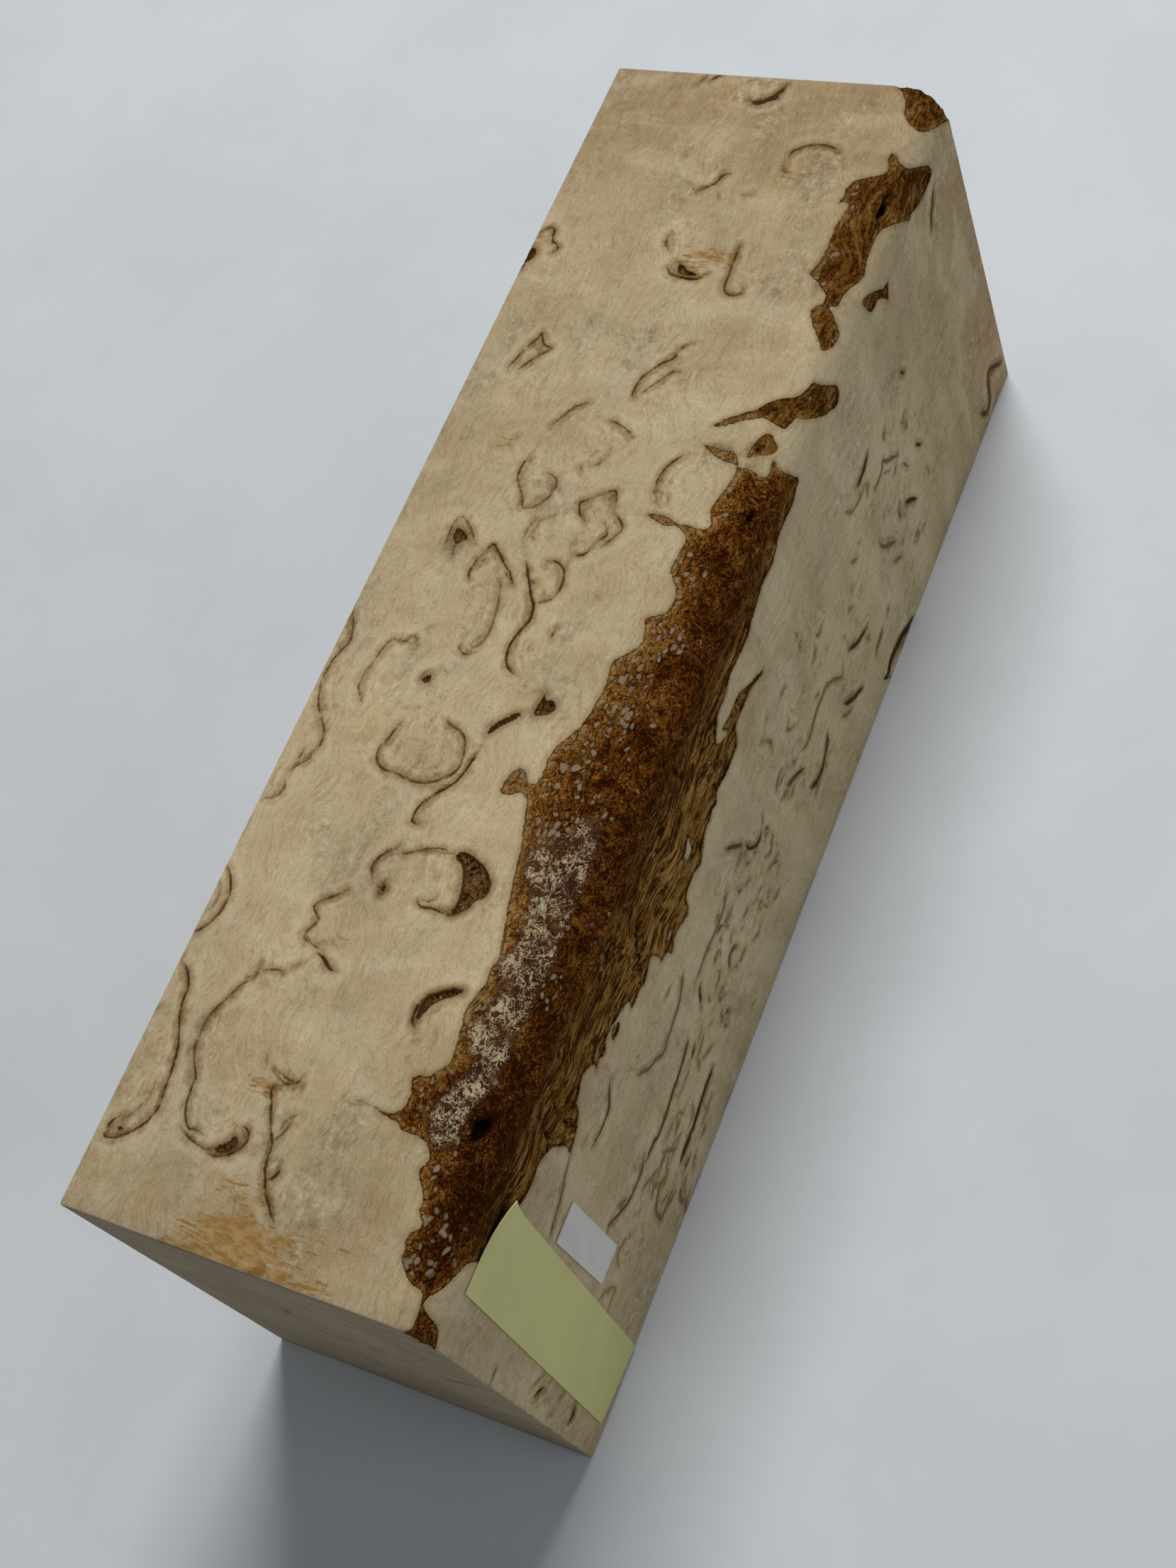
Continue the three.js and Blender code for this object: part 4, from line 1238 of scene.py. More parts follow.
@dataclass
class BirchBlock:
    """The sawn block with its grown, bark-covered wane."""

    length: float = 122.0
    width: float = 34.0
    height: float = 42.0
    wane_run: float = 3.0
    wane_drop: float = 3.8
    wane_reach: float = 9.0
    wane_taper: float = 0.12
    wane_wander: float = 0.07
    run_wave: tuple[float, float] = (47.0, 0.6)
    drop_wave: tuple[float, float] = (31.0, 2.2)
    wane_steps: int = 14
    arris: float = 0.22
    cell: float = 2.0
    halvings: int = 4
    crack_depth: float = 0.7
    pocket_depth: float = 0.3
    line_depth: float = 0.06
    crumb_depth: float = 0.28
    crumb_size: float = 0.7
    soft_edge: Point = (-0.02, 0.3)
    crack_edge: Point = (0.3, -0.25)
    line_edge: Point = (0.08, -0.1)
    sharp_angle: float = 60.0
    smooth_angle: float = 38.0
    end_slack: float = 1.4
    halving_share: float = 0.72
    weight_steps: int = 40

    def flatten(self, chart: Chart, places: np.ndarray) -> tuple[np.ndarray, np.ndarray]:
        """Lays places on the block flat on a chart.

        Args:
            chart: the sheet.
            places: places on the block, one row each.

        Returns:
            The rows that lie on the sheet, and where they lie on it.
        """
        x, y, z = places.T
        slack = self.arris * self.end_slack
        near, far = x < slack - self.length / 2, x > self.length / 2 - slack
        back, base = y > self.width / 2 - slack, z < slack
        wrap = (z > self.height - slack) | (y < slack - self.width / 2) | ~(near | far | back | base)
        sheets = {
            Chart.WRAP: (wrap, x, y + self.width / 2 + z - self.height),
            Chart.BACK: (back, x, z),
            Chart.BASE: (base, x, y),
            Chart.NEAR_END: (near, y, z),
            Chart.FAR_END: (far, y, z),
        }
        on_sheet, across, up = sheets[chart]
        rows = np.flatnonzero(on_sheet)
        return rows, np.column_stack([across, up])[rows]

    def build(self) -> bpy.types.Object:
        """Models the block and draws its figure on it.

        Returns:
            The finished block.
        """
        deselect()
        size = Vector((self.length, self.width, self.height)) * MM
        bpy.ops.mesh.primitive_cube_add(size=1.0, location=(0, 0, size.z / 2), scale=size)
        block = bpy.context.object
        block.name = "masur_block"
        block.data.name = "masur_block"
        bpy.ops.object.transform_apply(location=True, rotation=False, scale=True)
        self._round_edges(block)
        self._slice()
        self._grow_wane(block.data)
        figure = MasurFigure(self)
        self._refine(block.data, figure)
        marks = figure.marks(read_points(block.data))
        self._store(block.data, marks)
        self._carve(block, marks)
        bpy.ops.object.shade_smooth_by_angle(angle=math.radians(self.smooth_angle))
        return block

    def _round_edges(self, block: bpy.types.Object) -> None:
        """Bevels the wane, then breaks every other edge.

        Args:
            block: the plain box.
        """
        mesh = block.data
        corner = Vector((0, -self.width / 2, self.height)) * MM
        bpy.ops.object.mode_set(mode="EDIT")
        bpy.ops.mesh.select_mode(type="EDGE")
        bpy.ops.mesh.select_all(action="DESELECT")
        bpy.ops.object.mode_set(mode="OBJECT")
        for edge in mesh.edges:
            ends = [mesh.vertices[index].co for index in edge.vertices]
            edge.select = all((end - corner).yz.length < TOUCH for end in ends)
        bpy.ops.object.mode_set(mode="EDIT")
        bpy.ops.mesh.bevel(offset=self.wane_run * MM, segments=self.wane_steps, profile=0.5, affect="EDGES")
        bpy.ops.mesh.select_all(action="DESELECT")
        bpy.ops.mesh.edges_select_sharp(sharpness=math.radians(self.sharp_angle))
        bpy.ops.mesh.bevel(offset=self.arris * MM, segments=2, profile=0.5, affect="EDGES")
        bpy.ops.object.mode_set(mode="OBJECT")

    def _slice(self) -> None:
        """Cuts the whole surface into even cells."""
        bpy.ops.object.mode_set(mode="EDIT")
        spans = ((-self.length / 2, self.length / 2), (-self.width / 2, self.width / 2), (0.0, self.height))
        for axis, (low, high) in enumerate(spans):
            normal = [0.0, 0.0, 0.0]
            normal[axis] = 1.0
            for station in np.linspace(low, high, round((high - low) / self.cell) + 1)[1:-1]:
                place = [0.0, 0.0, 0.0]
                place[axis] = station * MM
                bpy.ops.mesh.select_all(action="SELECT")
                bpy.ops.mesh.bisect(plane_co=place, plane_no=normal, threshold=TOUCH)
        bpy.ops.object.mode_set(mode="OBJECT")

    def _grow_wane(self, mesh: bpy.types.Mesh) -> None:
        """Makes the even bevel a grown one, deeper than wide, that wanders and swells along the block.

        Args:
            mesh: the sliced block.
        """
        places = read_points(mesh)
        set_back = places[:, 1] + self.width / 2
        depth = self.height - places[:, 2]
        run, drop = (self._wane_scale(places[:, 0], *wave) for wave in (self.run_wave, self.drop_wave))
        near_top = ease(depth, self.wane_reach, self.wane_run)
        near_front = ease(set_back, self.wane_reach, self.wane_run)
        places[:, 1] += self._shift(set_back, self.wane_run * run) * near_top
        places[:, 2] -= self._shift(depth, self.wane_drop * drop) * near_front
        write_points(mesh, places)

    def _shift(self, distance: np.ndarray, tangent: np.ndarray) -> np.ndarray:
        """How far points move so that the bevel's tangent line ends up where the wane's is.

        Args:
            distance: each point's distance from the corner, on the even bevel.
            tangent: where the tangent line has to go.

        Returns:
            A shift for each point, which dies out away from the wane.
        """
        rising = distance / self.wane_run
        falling = (self.wane_reach - distance) / (self.wane_reach - self.wane_run)
        return (tangent - self.wane_run) * np.clip(np.minimum(rising, falling), 0.0, 1.0)

    def _wane_scale(self, x: np.ndarray, wave: float, phase: float) -> np.ndarray:
        """How much larger or smaller than nominal the wane is along the block."""
        wander = self.wane_wander * np.sin(2 * np.pi * x / wave + phase)
        return 1 + self.wane_taper * x / self.length + wander

    def _refine(self, mesh: bpy.types.Mesh, figure: MasurFigure) -> None:
        """Halves the cells, again and again, where the figure needs finer ones.

        Args:
            mesh: the sliced block.
            figure: the figure, which says how fine the cells have to be.
        """
        bpy.context.tool_settings.mesh_select_mode = (False, False, True)
        for halving in range(self.halvings):
            centres = np.empty(3 * len(mesh.polygons))
            mesh.polygons.foreach_get("center", centres)
            coarse = self.halving_share * self.cell / 2 ** halving
            chosen = figure.cell(centres.reshape(-1, 3) / MM) < coarse
            mesh.vertices.foreach_set("select", np.zeros(len(mesh.vertices), dtype=bool))
            mesh.edges.foreach_set("select", np.zeros(len(mesh.edges), dtype=bool))
            mesh.polygons.foreach_set("select", chosen)
            bpy.ops.object.mode_set(mode="EDIT")
            bpy.ops.mesh.subdivide(number_cuts=1, ngon=False)
            bpy.ops.object.mode_set(mode="OBJECT")

    @staticmethod
    def _store(mesh: bpy.types.Mesh, marks: dict[Mark, np.ndarray]) -> None:
        """Keeps every field on the mesh's points, where the finish reads it.

        Args:
            mesh: the refined block.
            marks: its fields.
        """
        for mark, values in marks.items():
            layer = mesh.attributes.new(mark.value, "FLOAT", "POINT")
            layer.data.foreach_set("value", values.astype(np.float32))

    def _carve(self, block: bpy.types.Object, marks: dict[Mark, np.ndarray]) -> None:
        """Gives the marks their relief, always inwards from the sawn faces.

        Args:
            block: the refined block.
            marks: its fields.
        """
        bark = ease(marks[Mark.BARK], *self.soft_edge)
        crack = ease(marks[Mark.CRACK], *self.crack_edge) * bark
        pocket = ease(marks[Mark.POCKET], *self.soft_edge)
        line = ease(marks[Mark.CURL_GAP], *self.line_edge) * marks[Mark.CURL_TONE]
        depths = [crack * self.crack_depth, pocket * self.pocket_depth, line * self.line_depth]
        hollow = np.maximum.reduce(depths)
        self._press(block, "hollows", hollow / self.crack_depth, self.crack_depth, None)
        self._press(block, "bark_crumbs", bark, self.crumb_depth, self.crumb_size)

    def _press(self, block: bpy.types.Object, name: str, weights: np.ndarray, depth: float,
               lump: float | None) -> None:
        """Presses part of the surface in with a Displace modifier.

        Args:
            block: the block.
            name: what the relief is called.
            weights: how much each point takes part, from 0 to 1.
            depth: the deepest that it goes.
            lump: the size of its lumps, or None where it goes in evenly.
        """
        group = block.vertex_groups.new(name=name)
        levels = np.round(weights * self.weight_steps).astype(int)
        for level in range(1, self.weight_steps + 1):
            chosen = np.flatnonzero(levels == level).tolist()
            group.add(chosen, level / self.weight_steps, "REPLACE")
        press = block.modifiers.new(name, "DISPLACE")
        press.vertex_group = name
        press.strength = -depth * MM
        press.mid_level = 0.0
        if lump is not None:
            press.texture = bpy.data.textures.new(name, "CLOUDS")
            press.texture.noise_scale = lump * MM
            press.texture.noise_depth = 3
            press.texture_coords = "LOCAL"
        bpy.ops.object.modifier_apply(modifier=name)


@dataclass(frozen=True)
class BirchFinish:
    """Masur birch: cream wood, dark curls, pockets, and bark with dust on the wane."""

    pale: Colour = (0.63, 0.515, 0.315)
    tan: Colour = (0.56, 0.45, 0.275)
    grey: Colour = (0.45, 0.40, 0.285)
    warm: Colour = (0.95, 0.87, 0.78)
    dulled_and_shaded: Colour = (0.92, 0.895, 0.865)
    far_tint: Colour = (0.88, 0.82, 0.78)
    top_painted_light: Colour = (1.11, 1.11, 1.11)
    sheen_shade: Colour = (0.74, 0.70, 0.63)
    crumpled: Colour = (0.66, 0.56, 0.42)
    pale_and_sheen: Colour = (0.76, 0.65, 0.43)
    grain: Colour = (0.66, 0.58, 0.46)
    line: Colour = (0.05, 0.027, 0.010)
    thin_line: Colour = (0.17, 0.115, 0.055)
    smudge_and_shade: Colour = (0.56, 0.45, 0.32)
    end_grain: Colour = (0.42, 0.35, 0.265)
    ochre: Colour = (0.44, 0.26, 0.08)
    rust: Colour = (0.30, 0.155, 0.04)
    pocket_brown: Colour = (0.16, 0.078, 0.024)
    pocket_crumb: Colour = (0.42, 0.31, 0.16)
    bark_black: Colour = (0.022, 0.007, 0.001)
    bark_deep: Colour = (0.082, 0.020, 0.0015)
    bark_brown: Colour = (0.17, 0.060, 0.009)
    bark_orange: Colour = (0.31, 0.135, 0.018)
    bark_gold: Colour = (0.44, 0.28, 0.11)
    foot_dark: Colour = (0.035, 0.012, 0.002)
    foot_umber: Colour = (0.14, 0.056, 0.008)
    foot_olive: Colour = (0.25, 0.120, 0.024)
    foot_pale: Colour = (0.42, 0.245, 0.07)
    stone_cell: Colour = (0.37, 0.29, 0.19)
    dust: Colour = (0.66, 0.54, 0.32)
    dust_bed: Colour = (0.075, 0.034, 0.020)
    crack_shade: Colour = (0.008, 0.003, 0.001)
    roughness: float = 0.75
    # Stretches along the block over which a tint comes in, and the height from which the top counts. The
    # near stretch of the ends' darkening is painted shade, and the lit stretch on the top is painted light.
    painted_shade_near: Point = (-34.0, -58.0)
    dull_far: Point = (26.0, 54.0)
    far_tip: Point = (43.0, 59.0)
    lit_from: Point = (4.0, -14.0)
    lit_until: Point = (-54.0, -38.0)
    top_skin: Point = (40.5, 41.5)
    bark_near: Point = (-34.0, -46.0)
    bark_far: Point = (17.0, 21.0)

    def dress(self, block: BirchBlock, piece: bpy.types.Object) -> None:
        """Makes the material and puts it on the block.

        Args:
            block: the block's sizes.
            piece: the block.
        """
        graph = FinishGraph("masur_birch")
        place = graph.point()
        wood, fibre = self._wood(graph, place, block.length / 2)
        sheet = graph.part(place, "Y") + graph.part(place, "Z") + (block.width / 2 - block.height)
        bark, crumbs = self._bark(graph, place, sheet)
        ragged = (graph.noise(place, 2.2, 3.0, 0.6) - 0.5) * 0.35
        edge = graph.mark(Mark.BARK.value) + ragged
        # Painted contact shade and a brown stain on the wood just outside the bark's outline.
        wood = graph.mix(graph.fade(edge, -0.6, 0.0) * 0.5, wood, self.smudge_and_shade, "MULTIPLY")
        inside = graph.fade(edge, -0.03, 0.06)
        colour = graph.mix(inside, wood, bark)
        grain = graph.bump(fibre, 0.04)
        normal = graph.bump(crumbs * inside, 0.25, grain)
        roughness = self.roughness + 0.14 * inside + 0.1 * (fibre - 0.5)
        piece.data.materials.clear()
        piece.data.materials.append(graph.finish({
            "Base Color": colour,
            "Roughness": roughness,
            "Normal": normal,
            "IOR": 1.45,
            "Specular IOR Level": 0.02,
        }))

    def _wood(self, graph: FinishGraph, place: Value, half_length: float) -> tuple[Value, Value]:
        """The wood with its curls, pockets and stains.

        Args:
            graph: the material.
            place: the place on the block.
            half_length: how far the sawn ends are from the middle.

        Returns:
            The colour, and the fibre's relief.
        """
        gap = graph.mark(Mark.CURL_GAP.value)
        inner = graph.mark(Mark.CURL_INNER.value)
        hollow = graph.fade(gap, 4.5, 0.3) * graph.fade(inner, -0.2, 0.6)
        swayed = graph.drift(place, 0.16, (0.0, 5.0, 5.0))
        fur = graph.streaks(swayed, (2.6, 9.5, 9.5), 3.0, 0.7)
        fibre = graph.streaks(swayed, (0.16, 3.0, 3.0), 4.0, 0.65)
        colour = self._ground(graph, place, hollow)
        colour = graph.mix(graph.fade(fibre, 0.46, 0.66) * 0.4, colour, self.grain, "MULTIPLY")
        colour = graph.mix(graph.fade(fur, 0.42, 0.66) * 0.55, colour, self.grain, "MULTIPLY")
        colour = self._ripples(graph, place, colour, gap, hollow)
        colour = self._ochre(graph, place, colour)
        colour = self._ends(graph, place, colour, half_length)
        colour = self._lines(graph, place, colour, gap, hollow)
        return self._pockets(graph, place, colour), fur + fibre * 0.5

    def _ground(self, graph: FinishGraph, place: Value, hollow: Value) -> Value:
        """The cream ground: clouded, crumpled, darker towards both ends with painted shade at the near end,
        palest on the near part of the top with painted light, and painted sheen in bands across the grain.

        Args:
            graph: the material.
            place: the place on the block.
            hollow: how far inside a curl the place lies.

        Returns:
            The ground's colour.
        """
        cloud = graph.streaks(place, (0.07, 0.13, 0.13), 3.0, 0.55)
        cool = graph.streaks(graph.offset(place, (31.0, 7.0, 3.0)), (0.11, 0.2, 0.2), 3.0, 0.6)
        warmth = graph.streaks(graph.offset(place, (5.0, 61.0, 9.0)), (0.15, 0.28, 0.28), 3.0, 0.6)
        crumple = graph.noise(graph.drift(place, 0.55, (2.2, 2.2, 2.2)), 0.95, 5.0, 0.75)
        sheen_bands = graph.streaks(graph.drift(place, 0.09, (7.0, 7.0, 7.0)), (0.22, 0.07, 0.07), 3.0, 0.6)
        stirred = graph.fade(cool + hollow * 0.25, 0.45, 0.72)
        along = graph.part(place, "X")
        # Darker towards both ends: painted shade towards the near end, and darker towards the far end.
        dull_and_shade = graph.fade(along, *self.painted_shade_near) * 0.9 + graph.fade(along, *self.dull_far)
        colour = graph.mix(graph.fade(cloud - 0.09 * dull_and_shade, 0.34, 0.58), self.tan, self.pale)
        colour = graph.mix(graph.fade(cool, 0.46, 0.72) * 0.4, colour, self.grey)
        colour = graph.mix(graph.fade(warmth, 0.46, 0.68) * 0.45, colour, self.warm, "MULTIPLY")
        colour = graph.mix(dull_and_shade * 0.75, colour, self.dulled_and_shaded, "MULTIPLY")
        colour = graph.mix(graph.fade(along, *self.far_tip), colour, self.far_tint, "MULTIPLY")
        # Painted light: the top face alone is made brighter over the middle of its near half.
        top = graph.fade(graph.part(place, "Z"), *self.top_skin)
        lit = graph.fade(along, *self.lit_from) * graph.fade(along, *self.lit_until) * top
        colour = graph.mix(lit, colour, self.top_painted_light, "MULTIPLY")
        creased = graph.fade(crumple, 0.5, 0.64) * (0.1 + 0.65 * stirred)
        raised = graph.fade(crumple, 0.48, 0.37) * (0.1 + 0.5 * stirred)
        colour = graph.mix(creased, colour, self.crumpled, "MULTIPLY")
        colour = graph.mix(raised, colour, self.pale_and_sheen)
        # Painted sheen: soft lighter and darker bands across the grain.
        colour = graph.mix(graph.fade(sheen_bands, 0.5, 0.66) * 0.4, colour, self.sheen_shade, "MULTIPLY")
        return graph.mix(graph.fade(sheen_bands, 0.5, 0.36) * 0.35, colour, self.pale_and_sheen)

    def _ripples(self, graph: FinishGraph, place: Value, colour: Value, gap: Value, hollow: Value) -> Value:
        """Follows the curls with faint growth lines, mostly on their inner side.

        Args:
            graph: the material.
            place: the place on the block.
            colour: the wood.
            gap: the gap to the nearest line.
            hollow: how far inside a curl the place lies.

        Returns:
            The rippled wood.
        """
        rings = {"W": gap * 2.8 + graph.noise(place, 0.6, 3.0, 0.6) * 3.0, "Scale": 1.0}
        swirl = graph.node("ShaderNodeTexNoise", {"noise_dimensions": "1D"}, rings, "Fac")
        ripple = graph.fade(swirl, 0.52, 0.62) * graph.fade(gap, 3.2, 0.1) * (0.15 + 0.85 * hollow)
        return graph.mix(ripple * 0.8, colour, self.crumpled, "MULTIPLY")

    def _ends(self, graph: FinishGraph, place: Value, colour: Value, half_length: float) -> Value:
        """Darkens the two sawn ends and runs waves of end grain over them.

        Args:
            graph: the material.
            place: the place on the block.
            colour: the wood.
            half_length: how far the sawn ends are from the middle.

        Returns:
            The wood with its end grain.
        """
        end = graph.fade(abs(graph.part(place, "X")), half_length - 0.25, half_length - 0.05)
        waves = graph.streaks(graph.drift(place, 0.1, (0.0, 5.0, 5.0)), (1.0, 0.11, 1.4), 5.0, 0.7)
        colour = graph.mix(end * 0.6, colour, self.end_grain)
        colour = graph.mix(graph.fade(waves, 0.46, 0.62) * end * 0.45, colour, self.crumpled, "MULTIPLY")
        return graph.mix(graph.fade(waves, 0.48, 0.36) * end * 0.2, colour, self.pale_and_sheen)

    def _lines(self, graph: FinishGraph, place: Value, colour: Value, gap: Value, hollow: Value) -> Value:
        """Draws the dark lines, each with a smudge beside it and a pale crest further out.

        Args:
            graph: the material.
            place: the place on the block.
            colour: the wood.
            gap: the gap to the nearest line.
            hollow: how far inside a curl the place lies.

        Returns:
            The wood with its lines.
        """
        tone = graph.mark(Mark.CURL_TONE.value)
        uneven = graph.noise(place, 0.9, 3.0, 0.6) - 0.5
        frayed = gap + 0.02 + uneven * 0.36 + (graph.noise(place, 5.0, 2.0, 0.6) - 0.5) * 0.1
        crest = graph.fade(abs(gap - 0.85 + uneven * 1.2), 0.5, 0.1) * tone
        halo = graph.fade(gap + uneven * 1.8 - hollow * 0.3, 0.6, -0.15) * tone
        core = graph.fade(frayed, 0.075, -0.065) * (0.45 + 0.5 * graph.fade(tone, 0.2, 0.7))
        ink = graph.mix(graph.fade(tone + uneven * 0.6, 0.35, 0.75), self.thin_line, self.line)
        colour = graph.mix(crest * 0.25, colour, self.pale_and_sheen)
        colour = graph.mix(halo * 0.95, colour, self.smudge_and_shade, "MULTIPLY")
        return graph.mix(core, colour, ink)

    def _ochre(self, graph: FinishGraph, place: Value, colour: Value) -> Value:
        """Lays the streaky ochre stain over the wood.

        Args:
            graph: the material.
            place: the place on the block.
            colour: the wood.

        Returns:
            The stained wood.
        """
        strokes = graph.streaks(place, (2.2, 0.4, 1.5), 5.0, 0.7)
        flecks = graph.streaks(place, (2.4, 0.9, 2.4), 4.0, 0.7)
        stain = graph.mark(Mark.OCHRE.value) + (strokes - 0.5) * 6.5 + 0.15
        soaked = graph.fade(stain, -0.3, 0.7)
        colour = graph.mix(soaked * (0.56 + 0.4 * graph.fade(flecks, 0.36, 0.56)), colour, self.ochre)
        colour = graph.mix(soaked * graph.fade(flecks, 0.45, 0.6) * 0.65, colour, self.rust)
        fringe = graph.fade(abs(stain - 0.25), 0.5, 0.0) * graph.fade(flecks, 0.40, 0.56)
        return graph.mix(fringe * 0.6, colour, self.rust)

    def _pockets(self, graph: FinishGraph, place: Value, colour: Value) -> Value:
        """Fills the pockets with crumbling brown bark.

        Args:
            graph: the material.
            place: the place on the block.
            colour: the wood.

        Returns:
            The wood with its pockets.
        """
        pocket = graph.mark(Mark.POCKET.value) + (graph.noise(place, 4.0, 2.0) - 0.5) * 0.25
        crumb = graph.noise(graph.drift(place, 1.2, (1.4, 1.4, 1.4)), 2.4, 5.0, 0.78)
        filling = graph.ramp(crumb, (0.42, self.bark_black), (0.53, self.pocket_brown),
                             (0.60, self.pocket_brown), (0.66, self.pocket_crumb))
        filling = graph.mix(graph.fade(abs(pocket - 0.05), 0.2, 0.04), filling, self.line)
        colour = graph.mix(graph.fade(pocket, -0.9, 0.0) * 0.8, colour, self.smudge_and_shade, "MULTIPLY")
        return graph.mix(graph.fade(pocket, -0.08, 0.06), colour, filling)

    def _bark(self, graph: FinishGraph, place: Value, sheet: Value) -> tuple[Value, Value]:
        """The bark, from its orange rim to its fibrous foot.

        Args:
            graph: the material.
            place: the place on the block.
            sheet: the height on the unrolled sheet.

        Returns:
            The colour, and the bark's relief.
        """
        depth = graph.mark(Mark.BARK.value)
        grit = graph.noise(place, 5.0, 4.0, 0.8)
        blotch = graph.noise(place, 0.42, 4.0, 0.62) - 0.5
        foot = graph.fade(sheet + blotch * 7.0, -1.5, -6.0)
        lit = graph.fade(sheet + blotch * 7.0, 1.4, 5.5)
        far = graph.fade(graph.part(place, "X"), *self.bark_far)
        colour, rough, fibres = self._crust(graph, place, depth, grit, blotch, lit)
        fibrous, strands = self._foot(graph, place, sheet, grit, blotch)
        colour = graph.mix(foot + far * (0.6 - 0.6 * foot), colour, fibrous)
        colour = self._stone_cells(graph, place, colour, 0.42 * lit - 0.14 + blotch * 0.5)
        # A dark line along the bark's outline: partly the bark's own dark edge, partly painted shade where
        # the bark sits below the wood.
        ragged = depth - 0.06 - 0.1 * foot + (fibres - 0.5) * (0.3 + 0.5 * foot)
        edge = graph.fade(abs(ragged), 0.14, 0.03)
        colour = graph.mix(edge * (0.5 + 0.3 * foot), colour, self.bark_black)
        colour = self._dust(graph, place, colour, grit)
        # Painted shade: the cracks are filled with near-black.
        crack = graph.fade(graph.mark(Mark.CRACK.value) + (rough - 0.5) * 1.1, 0.2, -0.12)
        return graph.mix(crack, colour, self.crack_shade), rough * (1 - foot) + strands * foot

    def _crust(self, graph: FinishGraph, place: Value, depth: Value, grit: Value, blotch: Value,
               lit: Value) -> tuple[Value, Value, Value]:
        """The crumbly bark on top of the wane, orange at its rim and darker at the near end.

        Args:
            graph: the material.
            place: the place on the block.
            depth: how far inside the bark's outline the place lies.
            grit: the bark's finest relief.
            blotch: its broad patches, about 0.
            lit: where the bark faces up.

        Returns:
            The colour, the relief, and the fibres that are part of it.
        """
        swayed = graph.drift(graph.drift(place, 0.3, (2.0, 3.0, 3.0)), 1.4, (0.6, 0.9, 0.9))
        fibres = graph.streaks(swayed, (1.7, 4.2, 4.2), 5.0, 0.75)
        veins = abs(graph.streaks(swayed, (0.7, 1.1, 1.1), 4.0, 0.65) - 0.5)
        rough = fibres * 0.6 + grit * 0.4
        rim = graph.fade(depth + blotch * 1.2, 0.75, 0.15)
        rim = rim + 0.7 * graph.fade(depth + blotch * 4.0, 3.4, 1.0)
        near = graph.fade(graph.part(place, "X") + blotch * 20.0, *self.bark_near)
        tint = rough + blotch * 0.28 + 0.04 * lit + 0.08 * rim - 0.05 * near
        tint = tint - graph.fade(veins, 0.05, 0.0) * 0.13
        colour = graph.ramp(tint, (0.39, self.bark_black), (0.47, self.bark_deep), (0.54, self.bark_brown),
                            (0.61, self.bark_orange), (0.69, self.bark_gold))
        flecks = graph.fade(grit, 0.55, 0.68) * graph.fade(blotch, -0.1, 0.1) * (0.2 + 0.8 * lit)
        return graph.mix(flecks * 0.7, colour, self.stone_cell), rough, fibres

    def _foot(self, graph: FinishGraph, place: Value, sheet: Value, grit: Value,
              blotch: Value) -> tuple[Value, Value]:
        """The fibrous foot of the bark on the front, in long strands.

        Args:
            graph: the material.
            place: the place on the block.
            sheet: the height on the unrolled sheet.
            grit: the bark's finest relief.
            blotch: its broad patches, about 0.

        Returns:
            The colour, and the strands' relief.
        """
        combed = graph.drift(place, 0.14, (0.0, 4.5, 4.5))
        strands = graph.streaks(combed, (0.2, 2.6, 2.6), 5.0, 0.7)
        seams = abs(graph.streaks(combed, (0.12, 0.9, 0.9), 4.0, 0.6) - 0.5)
        hem = graph.fade(sheet + blotch * 9.0, -4.0, -11.0)
        woven = strands * 0.72 + grit * 0.28 + blotch * 0.25 + 0.05 * hem
        woven = woven - graph.fade(seams, 0.06, 0.0) * 0.12
        fibrous = graph.ramp(woven, (0.41, self.foot_dark), (0.47, self.foot_umber),
                             (0.53, self.foot_olive), (0.61, self.foot_pale))
        return fibrous, strands

    def _dust(self, graph: FinishGraph, place: Value, colour: Value, grit: Value) -> Value:
        """Lodges cream sanding dust in the bark, as lace over a dark bed.

        Args:
            graph: the material.
            place: the place on the block.
            colour: the bark.
            grit: the bark's finest relief.

        Returns:
            The dusty bark.
        """
        dust = graph.mark(Mark.DUST.value)
        drifted = graph.drift(place, 0.8, (1.5, 1.5, 1.5))
        lace = graph.noise(drifted, 1.3, 5.0, 0.8)
        web = abs(graph.noise(drifted, 1.1, 5.0, 0.75) - 0.5)
        reach = dust + (lace - 0.5) * 1.6
        bed = graph.fade(reach, 0.2, 0.6) * graph.fade(grit, 0.3, 0.6)
        colour = graph.mix(bed * 0.85, colour, self.dust_bed)
        clumps = graph.noise(place, 0.55, 2.0)
        thick = dust * 0.3 + grit * 0.45 + clumps * 0.4 - web * 2.4
        return graph.mix(graph.fade(thick, 0.56, 0.63), colour, self.dust)

    def _stone_cells(self, graph: FinishGraph, place: Value, colour: Value, crowd: Value) -> Value:
        """Scatters pale stone cells with dark outlines.

        Args:
            graph: the material.
            place: the place on the block.
            colour: the bark.
            crowd: how likely a cell is, about 0.

        Returns:
            The bark with its cells.
        """
        cluster = graph.mark(Mark.CELLS.value)
        nudged = graph.stretch(graph.drift(place, 0.5, (1.6, 1.6, 1.6)), (1.15, 1.75, 1.75))
        sockets = {"Vector": nudged, "Scale": 1.0, "Randomness": 0.9}
        oval = graph.node("ShaderNodeTexVoronoi", {}, sockets, "Distance")
        lot = graph.part(graph.node("ShaderNodeTexVoronoi", {}, sockets, "Color"), "X")
        shown = graph.fade(lot + crowd + cluster * 0.85, 0.82, 0.9)
        size = oval - 0.12 * lot - 0.1 * cluster
        heart = graph.fade(size, 0.34, 0.14) * shown * (0.5 + 0.4 * lot)
        outline = graph.fade(abs(size - 0.36), 0.1, 0.02) * shown * 0.5
        colour = graph.mix(heart, colour, self.stone_cell)
        return graph.mix(outline, colour, self.bark_black)


